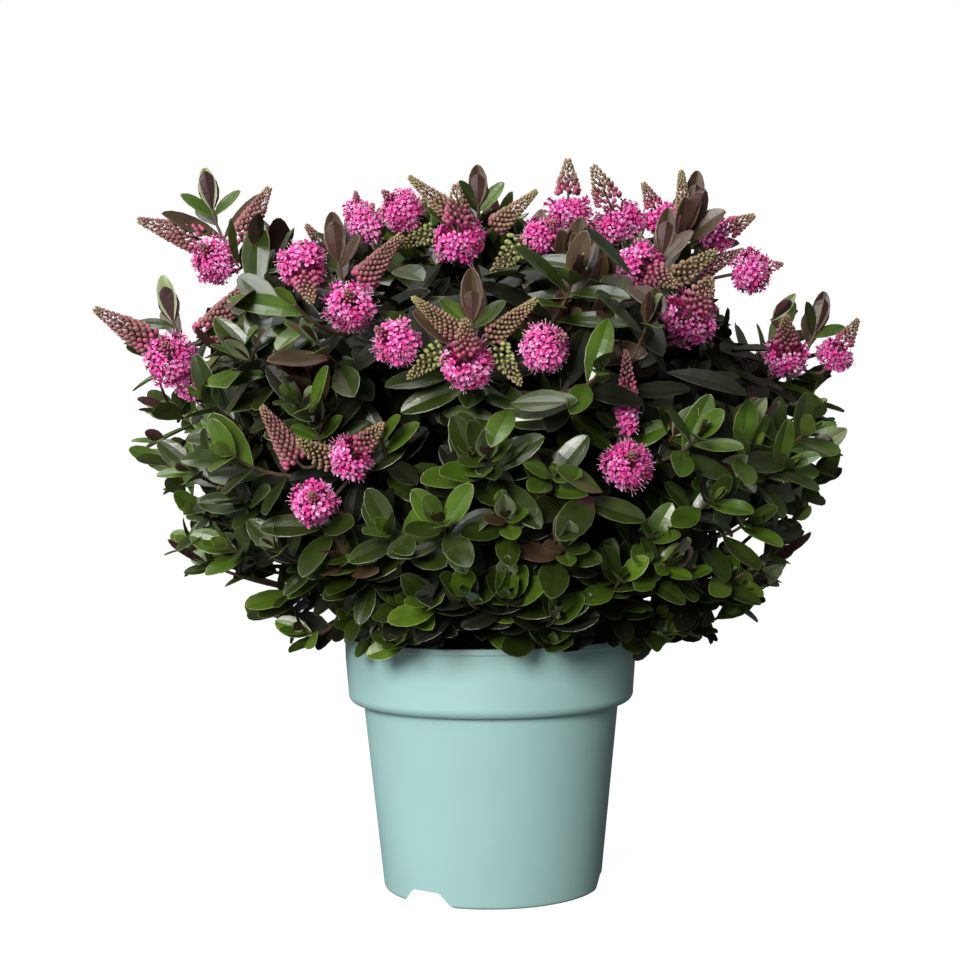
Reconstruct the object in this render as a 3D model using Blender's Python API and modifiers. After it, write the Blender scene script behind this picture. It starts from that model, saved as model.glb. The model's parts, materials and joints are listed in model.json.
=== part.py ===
"""Hebe shrub in a round plastic nursery pot, in metres, +Z up.

The origin is the centre of the pot's flat underside, and the shrub is seen from -Y.
A bearing is in degrees round the pot's axis: 0 is the front (-Y) and 90 the right (+X).
"""

import math
import random
from collections import namedtuple

import bmesh
import bpy
from mathutils import Matrix, Vector
from mathutils.bvhtree import BVHTree

MM = 0.001
SEED = 20
UP = Vector((0, 0, 1))
CLEAR = 0.3 * MM  # gap between one solid and the next
SLIVER = 0.003 * MM

# The pot: a tapered body under a wide collar
POT_HEIGHT = 163 * MM
RIM_RADIUS = 95 * MM
COLLAR_DEPTH = 42.5 * MM
COLLAR_LOW_RADIUS = 92.4 * MM
BODY_TOP_RADIUS = 82.6 * MM
BODY_LOW_RADIUS = 70.5 * MM
FOOT_ROUNDING = 2.5 * MM
WALL = 1.6 * MM
FLOOR = 2.6 * MM
POT_STEPS = 32

# Three drainage channels run in from the foot, and show as notches
CHANNEL_BEARINGS = (-39, 81, 201)
CHANNEL_HEIGHT = 9 * MM
CHANNEL_TOP_WIDTH = 20 * MM
CHANNEL_FOOT_WIDTH = 38 * MM
CHANNEL_INNER_REACH = 30 * MM

SOIL_TOP = POT_HEIGHT - 11 * MM
TRUNK_HEIGHT = 30 * MM

# The crown is a squat barrel with a flat top: its outline is a superellipse turned round the axis
CROWN_HEART = Vector((0, 0, 330 * MM))
CROWN_RADIUS = 242 * MM
CROWN_RISE = 140 * MM
CROWN_DROP = 192 * MM
CROWN_SQUARENESS = 2.5
RIGHT_SHOULDER_CUT = 0.16  # the crown falls away at the top right
SHOOT_COUNT = 94
SHOOT_SPACING = 44 * MM
SKIRT_SHOOTS = 13  # low shoots round the rim
SKIRT_RADIUS = 138 * MM
SKIRT_HEIGHT = 184 * MM

STEM_RADII = (3.4 * MM, 1.9 * MM)
BOUGH_RADII = (2.5 * MM, 1.5 * MM)
SHOOT_RADIUS = 1.5 * MM
TWIG_RADIUS = 1.3 * MM
MASS_DEPTH = 66 * MM
CORE_REACH = 56 * MM
CORE_INSETS = (22 * MM, 48 * MM)  # low on the crown, and high on it
CORE_BELOW_TIP = 26 * MM

LEAF_LENGTHS = (40 * MM, 54 * MM)
LEAF_WIDTH_SHARE = 0.46
LEAF_THICKNESS_SHARE = 0.035
PAIR_SPACING = 10 * MM
PAIR_TILTS = (32, 66, 84)  # degrees from the twig, from its tip down
PAIR_SIZES = (0.6, 0.95, 1.05)

RACEME_LENGTH = 44 * MM
BALL_RADIUS = 18.5 * MM
CONE_RADIUS = 10 * MM
# Where a raceme leaves its shoot: bearing from the facing, tilt, distance below the tip, open or not.
# No two are mirror images, whose edges would meet inside the shoot.
RACEMES = {
    "L": (-92, 62, 11 * MM, False),
    "R": (88, 52, 13 * MM, False),
    "F": (3, 84, 20 * MM, True),
    "l": (-86, 86, 31 * MM, True),
    "r": (80, 80, 34 * MM, True),
    "U": (-60, 16, 14 * MM, False),
    "O": (60, 40, 16 * MM, True),
}

Mass = namedtuple("Mass", "parent leaves_at bearing reach height facing racemes")
MASSES = {
    "top_centre": Mass("trunk", 0, -8, 71, 431, 0, "LRFlr"),
    "top_middle_right": Mass("top_centre", 0.5, 84, 66, 440, 20, "UO"),
    "top_left": Mass("trunk", 0, -87, 180, 439, -15, "LRF"),
    "left": Mass("top_left", 0.62, -73, 206, 364, -10, "LRF"),
    "side_left": Mass("top_left", 0.45, -55, 190, 297, -50, ""),
    "low_left": Mass("top_left", 0.3, -72, 186, 215, -70, ""),
    "upper_left": Mass("trunk", 0, -31, 164, 390, 0, "LRF"),
    "middle_left": Mass("upper_left", 0.5, -29, 194, 300, -5, "LRF"),
    "low_front_left": Mass("upper_left", 0.32, -28, 184, 222, -25, ""),
    "centre": Mass("trunk", 0, -3, 190, 353, 0, "LRFlr"),
    "front_middle": Mass("centre", 0.5, 0, 208, 278, 0, ""),
    "low_front": Mass("centre", 0.33, 3, 180, 212, 0, ""),
    "upper_right": Mass("trunk", 0, 49, 144, 393, 10, "LRF"),
    "middle_right": Mass("upper_right", 0.5, 24, 191, 307, 0, "UF"),
    "low_front_right": Mass("upper_right", 0.32, 33, 184, 218, 30, ""),
    "top_right": Mass("trunk", 0, 98, 136, 436, 10, "UF"),
    "right": Mass("top_right", 0.6, 84, 207, 358, -20, "FR"),
    "side_right": Mass("top_right", 0.45, 55, 188, 292, 50, ""),
    "low_right": Mass("top_right", 0.3, 77, 184, 214, 75, ""),
    "back_left_top": Mass("trunk", 0, -138, 142, 425, -138, "LRF"),
    "back_left": Mass("back_left_top", 0.5, -118, 205, 330, -118, "LRF"),
    "back_left_low": Mass("back_left_top", 0.3, -128, 184, 230, -128, ""),
    "back_top": Mass("trunk", 0, 178, 92, 432, 180, "LRF"),
    "back": Mass("back_top", 0.5, 172, 205, 335, 172, "LRF"),
    "back_low": Mass("back_top", 0.3, 180, 184, 226, 180, ""),
    "back_right_top": Mass("trunk", 0, 136, 148, 420, 136, "LRF"),
    "back_right": Mass("back_right_top", 0.5, 122, 205, 322, 122, "LRF"),
    "back_right_low": Mass("back_right_top", 0.3, 128, 184, 226, 128, ""),
}


def towards(bearing, elevation=0.0):
    """Unit vector for a bearing and an elevation in degrees."""
    b = math.radians(bearing)
    e = math.radians(elevation)
    return Vector((math.sin(b) * math.cos(e), -math.cos(b) * math.cos(e), math.sin(e)))


def material(name, colour, roughness):
    made = bpy.data.materials.new(name)
    made.use_nodes = True
    shader = made.node_tree.nodes["Principled BSDF"]
    shader.inputs["Base Color"].default_value = (*colour, 1)
    shader.inputs["Roughness"].default_value = roughness
    made.diffuse_color = (*colour, 1)
    return made


def new_object(name, data, collection, finish=None):
    obj = bpy.data.objects.new(name, data)
    collection.objects.link(obj)
    if finish:
        data.materials.append(finish)
    return obj


def mesh_object(name, bm, collection, finish=None):
    mesh = bpy.data.meshes.new(name)
    bm.to_mesh(mesh)
    bm.free()
    return new_object(name, mesh, collection, finish)


def new_collection(name):
    made = bpy.data.collections.new(name)
    bpy.context.scene.collection.children.link(made)
    return made


def arc(centre, radius, start, end, count):
    """Points on an arc in the (radius, height) plane of a turned profile, angles in degrees."""
    cx, cz = centre
    angles = [math.radians(start + (end - start) * i / (count - 1)) for i in range(count)]
    return [(cx + radius * math.cos(a), cz + radius * math.sin(a)) for a in angles]


def inner_wall():
    """The pot's inside from the floor to the rim, as (radius, height)."""
    step = POT_HEIGHT - COLLAR_DEPTH
    return [
        (BODY_LOW_RADIUS - WALL - 3 * MM, FLOOR),
        (BODY_LOW_RADIUS - WALL, 9 * MM),
        (BODY_TOP_RADIUS - WALL, step + 1.5 * MM),
        (BODY_TOP_RADIUS + 4.9 * MM, step + 4.5 * MM),
        (COLLAR_LOW_RADIUS - WALL, step + 12 * MM),
        (RIM_RADIUS - WALL - 0.8 * MM, POT_HEIGHT),
    ]


def inner_radius(height):
    """Radius of the pot's inside at a height."""
    wall = inner_wall()
    for (r0, z0), (r1, z1) in zip(wall, wall[1:]):
        if height <= z1:
            return r0 + (r1 - r0) * max(0.0, (height - z0) / (z1 - z0))
    return wall[-1][0]


def turned(name, profile, collection, finish):
    """A solid turned round Z from a profile that starts and ends on the axis, its outer side going down."""
    bm = bmesh.new()
    verts = [bm.verts.new((r, 0, z)) for r, z in profile]
    for a, b in zip(verts, verts[1:]):
        bm.edges.new((a, b))
    obj = mesh_object(name, bm, collection, finish)
    screw = obj.modifiers.new("turn", "SCREW")
    screw.steps = screw.render_steps = POT_STEPS
    screw.use_merge_vertices = True
    screw.merge_threshold = 0.01 * MM
    return obj


def channel_bar(name, collection, bearing, half_widths, height, foot, reach):
    """A bar of trapezoid section that runs out on a bearing. Half-widths are at z = 0 and at its top."""
    low, top = half_widths
    low += (low - top) * -foot / height
    section = ((-low, foot), (low, foot), (top, height), (-top, height))
    bm = bmesh.new()
    ends = [[bm.verts.new((x, -y, z)) for x, z in section] for y in reach]
    bm.faces.new(ends[0])
    bm.faces.new(ends[1])
    for i in range(4):
        bm.faces.new((ends[0][i - 1], ends[0][i], ends[1][i], ends[1][i - 1]))
    bmesh.ops.recalc_face_normals(bm, faces=bm.faces)
    turn = Matrix.Rotation(math.radians(bearing), 4, "Z")
    bmesh.ops.transform(bm, matrix=turn, verts=bm.verts)
    return hidden_cutter(mesh_object(name, bm, collection))


def hidden_cutter(obj):
    obj.hide_render = True
    obj.display_type = "WIRE"
    return obj


def boolean(obj, operation, collection, solver="EXACT"):
    made = obj.modifiers.new(operation.lower(), "BOOLEAN")
    made.operation = operation
    made.operand_type = "COLLECTION"
    made.collection = collection
    made.solver = solver
    return made


def build_pot(parts, finish):
    low = POT_HEIGHT - COLLAR_DEPTH
    bend = COLLAR_LOW_RADIUS - 9 * MM
    outer = [
        (RIM_RADIUS - 0.8 * MM, POT_HEIGHT),
        (RIM_RADIUS, POT_HEIGHT - 0.8 * MM),
        (RIM_RADIUS, POT_HEIGHT - 3 * MM),
        (RIM_RADIUS - 0.7 * MM, POT_HEIGHT - 4 * MM),
        *arc((bend, low + 9.5 * MM), 9 * MM, 8, -78, 5),
        (BODY_TOP_RADIUS + 0.6 * MM, low),
        (BODY_TOP_RADIUS, low - 0.8 * MM),
        *arc((BODY_LOW_RADIUS - FOOT_ROUNDING, FOOT_ROUNDING), FOOT_ROUNDING, 0, -90, 4),
        (0, 0),
    ]
    pot = turned("pot", [(0, FLOOR)] + inner_wall() + outer, parts, finish)
    covers = new_collection("channel_covers")
    channels = new_collection("channels")
    trim = new_collection("cover_trim")
    top = CHANNEL_HEIGHT + WALL
    middle = BODY_LOW_RADIUS - WALL / 2
    spread = (BODY_TOP_RADIUS - BODY_LOW_RADIUS) / low
    bm = bmesh.new()
    bmesh.ops.create_cone(
        bm, cap_ends=True, segments=POT_STEPS, depth=2 * top,
        radius1=middle - spread * top / 2, radius2=middle + spread * top * 1.5,
    )
    bmesh.ops.translate(bm, vec=UP * top / 2, verts=bm.verts)
    hidden_cutter(mesh_object("cover_trim", bm, trim))
    half = CHANNEL_FOOT_WIDTH / 2, CHANNEL_TOP_WIDTH / 2
    inner = CHANNEL_INNER_REACH
    for i, bearing in enumerate(CHANNEL_BEARINGS):
        channel_bar(
            f"channel_{i + 1}", channels, bearing, half, CHANNEL_HEIGHT, -3 * MM,
            (inner, RIM_RADIUS),
        )
        cover = channel_bar(
            f"channel_cover_{i + 1}", covers, bearing, [w + WALL for w in half], top, 0.8 * MM,
            (inner - WALL, RIM_RADIUS),
        )
        boolean(cover, "INTERSECT", trim)
    boolean(pot, "UNION", covers)
    boolean(pot, "DIFFERENCE", channels)
    return pot


def build_soil(parts, finish):
    floor = CHANNEL_HEIGHT + WALL + CLEAR
    corners = [z for _, z in inner_wall() if floor < z < SOIL_TOP - 4 * MM]
    heights = [SOIL_TOP - 3 * MM, *reversed(corners), floor]
    side = [(inner_radius(z) - CLEAR, z) for z in heights]
    return turned("soil", [(0, SOIL_TOP), (60 * MM, SOIL_TOP), *side, (0, floor)], parts, finish)


Limb = namedtuple("Limb", "points radii")


def along(limb, share):
    """Point, direction and radius at a share of a limb's length."""
    lengths = [(b - a).length for a, b in zip(limb.points, limb.points[1:])]
    left = share * sum(lengths)
    for i, length in enumerate(lengths):
        if left <= length or i == len(lengths) - 1:
            part = min(1.0, left / length)
            a, b = limb.points[i], limb.points[i + 1]
            radius = limb.radii[i] + (limb.radii[i + 1] - limb.radii[i]) * part
            return a.lerp(b, part), (b - a).normalized(), radius
        left -= length


def bowed(start, heading, end, radii, count=5):
    """A limb that leaves start on a heading and bends smoothly to end."""
    bend = start + heading * (end - start).length * 0.42
    points = []
    for i in range(count):
        t = i / (count - 1)
        points.append(start.lerp(bend, t).lerp(bend.lerp(end, t), t))
    thick, thin = radii
    return Limb(points, [thick + (thin - thick) * i / (count - 1) for i in range(count)])


def socket(parent, share, target, radius):
    """Where a side bough of this radius leaves its parent, and its heading there."""
    point, direction, parent_radius = along(parent, share)
    across = target - point
    across = (across - direction * across.dot(direction)).normalized()
    heading = (across * 0.9 + direction * 0.45).normalized()
    lean_in = radius * abs(heading.dot(direction))
    flat = parent_radius * 0.94  # between a six-sided limb's corners and its flats
    return point + across * (flat + lean_in + CLEAR), heading


def trunk_limb():
    base = Vector((0, 0, SOIL_TOP + CLEAR))
    shape = ((0, 14), (0.08, 11.5), (0.25, 9), (0.55, 8.6), (0.82, 10), (1, 7.5))
    lean = Vector((1.5 * MM, -1 * MM, 0))
    points = []
    for share, _ in shape:
        points.append(base + UP * TRUNK_HEIGHT * share + lean * max(0, share - 0.08))
    return Limb(points, [radius * MM for _, radius in shape])


def crown_reach(way):
    """How far the crown's outline lies from its heart on a unit vector."""
    side = math.hypot(way.x, way.y) / CROWN_RADIUS
    rise = abs(way.z) / (CROWN_RISE if way.z > 0 else CROWN_DROP)
    reach = (side**CROWN_SQUARENESS + rise**CROWN_SQUARENESS) ** (-1 / CROWN_SQUARENESS)
    shoulder = max(0.0, way.x) * max(0.0, way.z) * 2
    return reach * (1 - RIGHT_SHOULDER_CUT * shoulder)


def by_height(pair, height):
    """A value between one for low on the crown and one for high on it."""
    low, high = pair
    return low + (high - low) * max(0.0, min(1.0, (height - 180 * MM) / (200 * MM)))


def inside_core_limit(point):
    out = point - CROWN_HEART
    return out.length + by_height(CORE_INSETS, point.z) < crown_reach(out.normalized())


def growth_direction(tip):
    """Shoots point away from the crown's foot, and low ones turn up."""
    outward = Vector((tip.x, tip.y, 0)) * 1.15
    return (outward + UP * max(70 * MM, (tip.z - 200 * MM) * 1.05)).normalized()


class Crown:
    """Where each mass stands, and the space it keeps to: the points nearest its own middle."""

    def __init__(self):
        self.tips = {}
        self.feet = {}
        self.middles = {}
        for name, mass in MASSES.items():
            tip = towards(mass.bearing) * mass.reach * MM + UP * mass.height * MM
            growth = growth_direction(tip)
            self.tips[name] = tip
            self.feet[name] = tip - growth * MASS_DEPTH
            self.middles[name] = tip - growth * MASS_DEPTH * 0.56
        self.limbs = {"trunk": trunk_limb()}
        self.place_limbs()
        self.walls = {name: self.walls_of(name) for name in MASSES}
        self.spare_tips = self.share_tips()
        self.obstacles = self.obstacle_tree()

    def place_limbs(self):
        ring = [name for name, mass in MASSES.items() if mass.parent == "trunk"]
        ring.sort(key=lambda name: MASSES[name].bearing % 360)
        lower = True
        for name in ring:
            if MASSES[name].reach < 80:
                self.limbs[name] = self.leader(name)
                continue
            self.limbs[name] = self.stem(name, lower)
            lower = not lower
        for name, mass in MASSES.items():
            if mass.parent != "trunk":
                parent = self.limbs[mass.parent]
                start, heading = socket(parent, mass.leaves_at, self.feet[name], BOUGH_RADII[0])
                self.limbs[name] = bowed(start, heading, self.feet[name], BOUGH_RADII)

    def leader(self, name):
        """The middle stem, which carries on from the top of the trunk."""
        top = self.limbs["trunk"].points[-1]
        return bowed(top + UP * CLEAR * 1.3, UP, self.feet[name], STEM_RADII)

    def stem(self, name, lower):
        """A stem from the trunk's side, from the lower or the upper of two rings."""
        trunk = self.limbs["trunk"]
        point, _, trunk_radius = along(trunk, 0.42 if lower else 0.78)
        out = towards(MASSES[name].bearing)
        heading = (out * 0.8 + UP * (0.45 if lower else 0.75)).normalized()
        lean_in = STEM_RADII[0] * heading.z
        start = point + out * (trunk_radius + lean_in + CLEAR * 1.3)
        return bowed(start, heading, self.feet[name], STEM_RADII)

    def walls_of(self, name):
        """Planes half-way to every other mass, as (a point on it, the way out)."""
        own = self.middles[name]
        walls = []
        for other, middle in self.middles.items():
            if other != name:
                walls.append(((own + middle) / 2, (middle - own).normalized()))
        return walls

    def holds(self, name, points, clearance=0.5 * MM):
        for plane, outward in self.walls[name]:
            if any((p - plane).dot(outward) > -clearance for p in points):
                return False
        return True

    def share_tips(self):
        """More shoot tips, evenly under the crown's outline and round its skirt, one mass each."""
        golden = math.pi * (3 - math.sqrt(5))
        spots = []
        for i in range(SHOOT_COUNT):
            z = 1 - 2 * (i + 0.5) / SHOOT_COUNT
            side = math.sqrt(1 - z * z)
            way = Vector((side * math.cos(golden * i), side * math.sin(golden * i), z))
            tip = CROWN_HEART + way * crown_reach(way)
            spots.append(tip - way * by_height(LEAF_LENGTHS, tip.z) * 0.55)
        spots = [tip for tip in spots if tip.z > SKIRT_HEIGHT + 15 * MM]
        for i in range(SKIRT_SHOOTS):
            spots.append(towards(360 * i / SKIRT_SHOOTS) * SKIRT_RADIUS + UP * SKIRT_HEIGHT)
        dealt = {name: [] for name in MASSES}
        for tip in spots:
            if min((tip - other).length for other in self.tips.values()) < SHOOT_SPACING * 0.8:
                continue
            nearest = min(self.middles, key=lambda name: (tip - self.middles[name]).length)
            dealt[nearest].append(tip)
        return dealt

    def obstacle_tree(self):
        """The limbs and the pot, each a little fatter than it is, for overlap tests."""
        whole = bmesh.new()
        for limb in self.limbs.values():
            rows = zip(limb.points, limb.points[1:], limb.radii, limb.radii[1:])
            for start, end, thick, thin in rows:
                fat = rod(start, end, thick + 2 * CLEAR, thin + 2 * CLEAR, 8)
                append_mesh(whole, fat)
        top = POT_HEIGHT + 1.5 * MM
        pot = rod(Vector(), UP * top, RIM_RADIUS + 1.5 * MM, RIM_RADIUS + 1.5 * MM, POT_STEPS)
        append_mesh(whole, pot)
        tree = BVHTree.FromBMesh(whole)
        whole.free()
        return tree


def append_mesh(whole, piece):
    mesh = bpy.data.meshes.new("piece")
    piece.to_mesh(mesh)
    piece.free()
    whole.from_mesh(mesh)
    bpy.data.meshes.remove(mesh)


def frame_at(origin, way, upper_side):
    """Matrix whose Z runs along way and whose Y faces upper_side as nearly as it can."""
    z = way.normalized()
    x = upper_side.cross(z)
    if x.length < 1e-4:
        x = Vector((1, 0, 0)).cross(z)
    x.normalize()
    y = z.cross(x)
    rotation = Matrix((x, y, z)).transposed().to_4x4()
    return Matrix.Translation(origin) @ rotation


def rod(start, end, thick, thin, sides):
    bm = bmesh.new()
    length = (end - start).length
    bmesh.ops.create_cone(
        bm, cap_ends=True, segments=sides, radius1=thick, radius2=thin, depth=length
    )
    way = (end - start) / length
    place = frame_at((start + end) / 2, way, UP)
    bmesh.ops.transform(bm, matrix=place, verts=bm.verts)
    return bm


def spindle(length, radii, sides):
    """A closed body along +Z from the origin, with a radius for each of its rings."""
    rings = len(radii)
    bm = bmesh.new()
    bmesh.ops.create_uvsphere(bm, u_segments=sides, v_segments=rings + 1, radius=1)
    for v in bm.verts:
        share = math.acos(max(-1.0, min(1.0, -v.co.z))) / math.pi
        ring = round(share * (rings + 1))
        if 0 < ring <= rings:
            flat = Vector((v.co.x, v.co.y)).normalized() * radii[ring - 1]
            v.co.x, v.co.y = flat
        v.co.z = length * ring / (rings + 1)
    return bm


def leaf(length):
    """A blade along +Z that faces +Y: six points round a flat face, over one keel point."""
    half = length * LEAF_WIDTH_SHARE / 2
    outline = ((0, 0), (0.86, 0.34), (1, 0.66), (0, 1), (-1, 0.66), (-0.86, 0.34))
    bm = bmesh.new()
    keel = bm.verts.new((0, -length * LEAF_THICKNESS_SHARE * 1.6, length * 0.5))
    edge = [bm.verts.new((x * half, 0, z * length)) for x, z in outline]
    bm.faces.new(edge)
    for i, corner in enumerate(edge):
        bm.faces.new((corner, edge[i - 1], keel))
    bmesh.ops.recalc_face_normals(bm, faces=bm.faces)
    return bm


def raceme(is_open):
    """A flower head: a ball of open flowers under a short tip of buds, or a cone of buds."""
    if is_open:
        return spindle(RACEME_LENGTH, [BALL_RADIUS * share for share in (0.82, 1.0, 0.6)], 6)
    return spindle(RACEME_LENGTH, [CONE_RADIUS * share for share in (1.0, 0.7)], 5)


# A shoot's axis is its wood's direction, and its growth is the way that its leaves turn to
Shoot = namedtuple("Shoot", "tip axis growth facing")


class MassBuilder:
    """Grows one mass: a stem, a core, twigs, leaves and racemes, each added only where it fits."""

    def __init__(self, name, crown, scraps, finish, attempt):
        self.name = name
        self.crown = crown
        self.scraps = scraps
        self.chance = random.Random(f"{SEED} {name} {attempt}")
        foot, tip = crown.feet[name], crown.tips[name]
        limb = crown.limbs[name]
        arriving = (limb.points[-1] - limb.points[-2]).normalized()
        way = (tip - foot).normalized()
        swing = SHOOT_RADIUS * math.sqrt(max(0.0, 1 - arriving.dot(way) ** 2))
        self.start = foot + arriving * (CLEAR * 1.3 + swing)
        self.tip = tip
        stem = rod(self.start, tip, SHOOT_RADIUS, SHOOT_RADIUS * 0.7, 5)
        self.base = mesh_object(f"foliage_{name}", stem, bpy.context.scene.collection, finish)

    def add(self, bm):
        """Keep a piece if it lies in the mass's own space, clear of every limb and of the pot."""
        inside = self.crown.holds(self.name, [v.co for v in bm.verts])
        if not inside or self.crown.obstacles.overlap(BVHTree.FromBMesh(bm)):
            bm.free()
            return False
        mesh_object("scrap", bm, self.scraps)
        return True

    def add_core(self):
        """The dense middle that leaves stand out of, drawn in from its neighbours and the limbs."""
        centre = self.crown.middles[self.name]
        growth = (self.tip - self.start).normalized()
        lid = self.tip - growth * CORE_BELOW_TIP, growth
        bm = bmesh.new()
        bmesh.ops.create_icosphere(bm, subdivisions=2, radius=1)
        for v in bm.verts:
            way = v.co.normalized()
            reach = CORE_REACH * self.chance.uniform(0.85, 1)
            for plane, outward in [*self.crown.walls[self.name], lid]:
                facing = way.dot(outward)
                if facing > 0:
                    reach = min(reach, ((plane - centre).dot(outward) - 2 * CLEAR) / facing)
            while reach > 8 * MM and not inside_core_limit(centre + way * reach):
                reach -= 2 * MM
            v.co = centre + way * reach
        for _ in range(60):
            bm.faces.ensure_lookup_table()
            hit = {i for i, _ in BVHTree.FromBMesh(bm).overlap(self.crown.obstacles)}
            if not hit:
                break
            for v in {v for i in hit for v in bm.faces[i].verts}:
                v.co = centre + (v.co - centre) * 0.93
        self.add(bm)

    def add_twig(self, tip, facing):
        """A side twig from the stem, as a shoot, or None where there's no way for it."""
        growth = (growth_direction(tip) + self.jitter(0.18)).normalized()
        for share in (0.35, 0.15, 0.6):
            root = self.start.lerp(self.tip, share + self.chance.uniform(-0.08, 0.08))
            if self.add(rod(root, tip, TWIG_RADIUS * 1.2, TWIG_RADIUS * 0.8, 3)):
                axis = (tip - root).normalized()
                return Shoot(tip, axis, (growth + axis).normalized(), facing)
        return None

    def jitter(self, size):
        return Vector([self.chance.uniform(-size, size) for _ in range(3)])

    def add_leaves(self, shoot, pairs):
        """Crossed pairs of leaves from the tip down, each pair a quarter turn from the last."""
        across = shoot.facing.cross(shoot.growth).normalized()
        ahead = shoot.growth.cross(across)
        for pair in pairs:
            joint = shoot.tip - shoot.axis * (pair * PAIR_SPACING + 1.5 * MM)
            side = across if pair % 2 else ahead
            level = min(pair, len(PAIR_TILTS) - 1)
            tilt = math.radians(PAIR_TILTS[level])
            for sign in (1, -1):
                way = shoot.growth * math.cos(tilt) + side * sign * math.sin(tilt)
                way = (way + self.jitter(0.12)).normalized()
                size = PAIR_SIZES[level] * self.chance.uniform(0.9, 1.08)
                bm = leaf(by_height(LEAF_LENGTHS, shoot.tip.z) * size)
                place = frame_at(joint - way * 0.5 * MM, way, shoot.growth)
                bmesh.ops.transform(bm, matrix=place, verts=bm.verts)
                self.add(bm)

    def add_racemes(self, shoot, kinds):
        across = shoot.facing.cross(shoot.growth).normalized()
        ahead = shoot.growth.cross(across)
        for kind in kinds:
            bearing, tilt, drop, is_open = RACEMES[kind]
            b, t = math.radians(bearing), math.radians(tilt)
            side = ahead * math.cos(b) - across * math.sin(b)
            way = shoot.growth * math.cos(t) + side * math.sin(t)
            way = (way + self.jitter(0.1)).normalized()
            joint = shoot.tip - shoot.axis * drop - way * 0.5 * MM
            for share in (1.0, 0.85, 0.7):
                bm = raceme(is_open)
                bmesh.ops.scale(bm, vec=(share,) * 3, verts=bm.verts)
                bmesh.ops.transform(bm, matrix=frame_at(joint, way, shoot.growth), verts=bm.verts)
                if self.add(bm):
                    break
            else:
                print("no room for raceme", kind, "of", self.name)

    def grow(self):
        mass = MASSES[self.name]
        axis = (self.tip - self.start).normalized()
        facing = towards(mass.facing)
        main = Shoot(self.tip, axis, growth_direction(self.tip), facing)
        self.add_core()
        self.add_racemes(main, mass.racemes)
        self.add_leaves(main, (0, 4) if mass.racemes else (0, 1, 2))
        for tip in self.crown.spare_tips[self.name]:
            shoot = self.add_twig(tip, facing)
            if shoot:
                self.add_leaves(shoot, (0, 1))

    def join(self):
        """One Boolean union. Returns whether it made one clean shell."""
        boolean(self.base, "UNION", self.scraps, "MANIFOLD")
        graph = bpy.context.evaluated_depsgraph_get()
        joined = bpy.data.meshes.new_from_object(self.base.evaluated_get(graph))
        self.base.modifiers.clear()
        self.base.data = joined
        for scrap in list(self.scraps.objects):
            bpy.data.objects.remove(scrap)
        return keep_largest_shell(joined)


def keep_largest_shell(mesh):
    """Weld slivers and drop sealed hollows and loose scraps. Returns whether the rest is closed."""
    bm = bmesh.new()
    bm.from_mesh(mesh)
    bmesh.ops.remove_doubles(bm, verts=bm.verts, dist=SLIVER)
    unseen = set(bm.faces)
    shells = []
    while unseen:
        shell = [unseen.pop()]
        for face in shell:  # the list grows as it is walked
            for edge in face.edges:
                for other in edge.link_faces:
                    if other in unseen:
                        unseen.remove(other)
                        shell.append(other)
        shells.append(shell)
    shells.sort(key=len)
    loose = [face for shell in shells[:-1] for face in shell]
    bmesh.ops.delete(bm, geom=loose, context="FACES")
    closed = all(len(edge.link_faces) == 2 for edge in bm.edges)
    bm.to_mesh(mesh)
    bm.free()
    return closed


def build_mass(name, crown, parts, finish):
    """Grow a mass, again from other chances where its pieces don't join cleanly."""
    scraps = new_collection(f"scraps_{name}")
    for attempt in range(12):
        builder = MassBuilder(name, crown, scraps, finish, attempt)
        builder.grow()
        if builder.join():
            break
        bpy.data.objects.remove(builder.base)
    bpy.context.scene.collection.objects.unlink(builder.base)
    parts.objects.link(builder.base)
    bpy.data.collections.remove(scraps)


def build_limb(name, limb, parts, finish, sides=1):
    data = bpy.data.curves.new(name, "CURVE")
    data.dimensions = "3D"
    data.bevel_depth = 1
    data.bevel_resolution = sides
    data.use_fill_caps = True
    spline = data.splines.new("POLY")
    spline.points.add(len(limb.points) - 1)
    for spot, point, radius in zip(spline.points, limb.points, limb.radii):
        spot.co = (*point, 1)
        spot.radius = radius
    return new_object(name, data, parts, finish)


def main():
    for obj in list(bpy.data.objects):
        bpy.data.objects.remove(obj)
    parts = new_collection("potted_hebe")
    build_pot(parts, material("pot_plastic", (0.37, 0.60, 0.57), 0.42))
    build_soil(parts, material("soil", (0.055, 0.035, 0.025), 0.95))
    bark = material("bark", (0.20, 0.12, 0.08), 0.8)
    foliage = material("foliage", (0.07, 0.14, 0.04), 0.4)
    crown = Crown()
    build_limb("trunk", crown.limbs["trunk"], parts, bark, sides=2)
    for name in MASSES:
        build_limb(f"bough_{name}", crown.limbs[name], parts, bark)
    for name in MASSES:
        build_mass(name, crown, parts, foliage)


main()
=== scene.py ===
import math
import random
from collections import namedtuple

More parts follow.
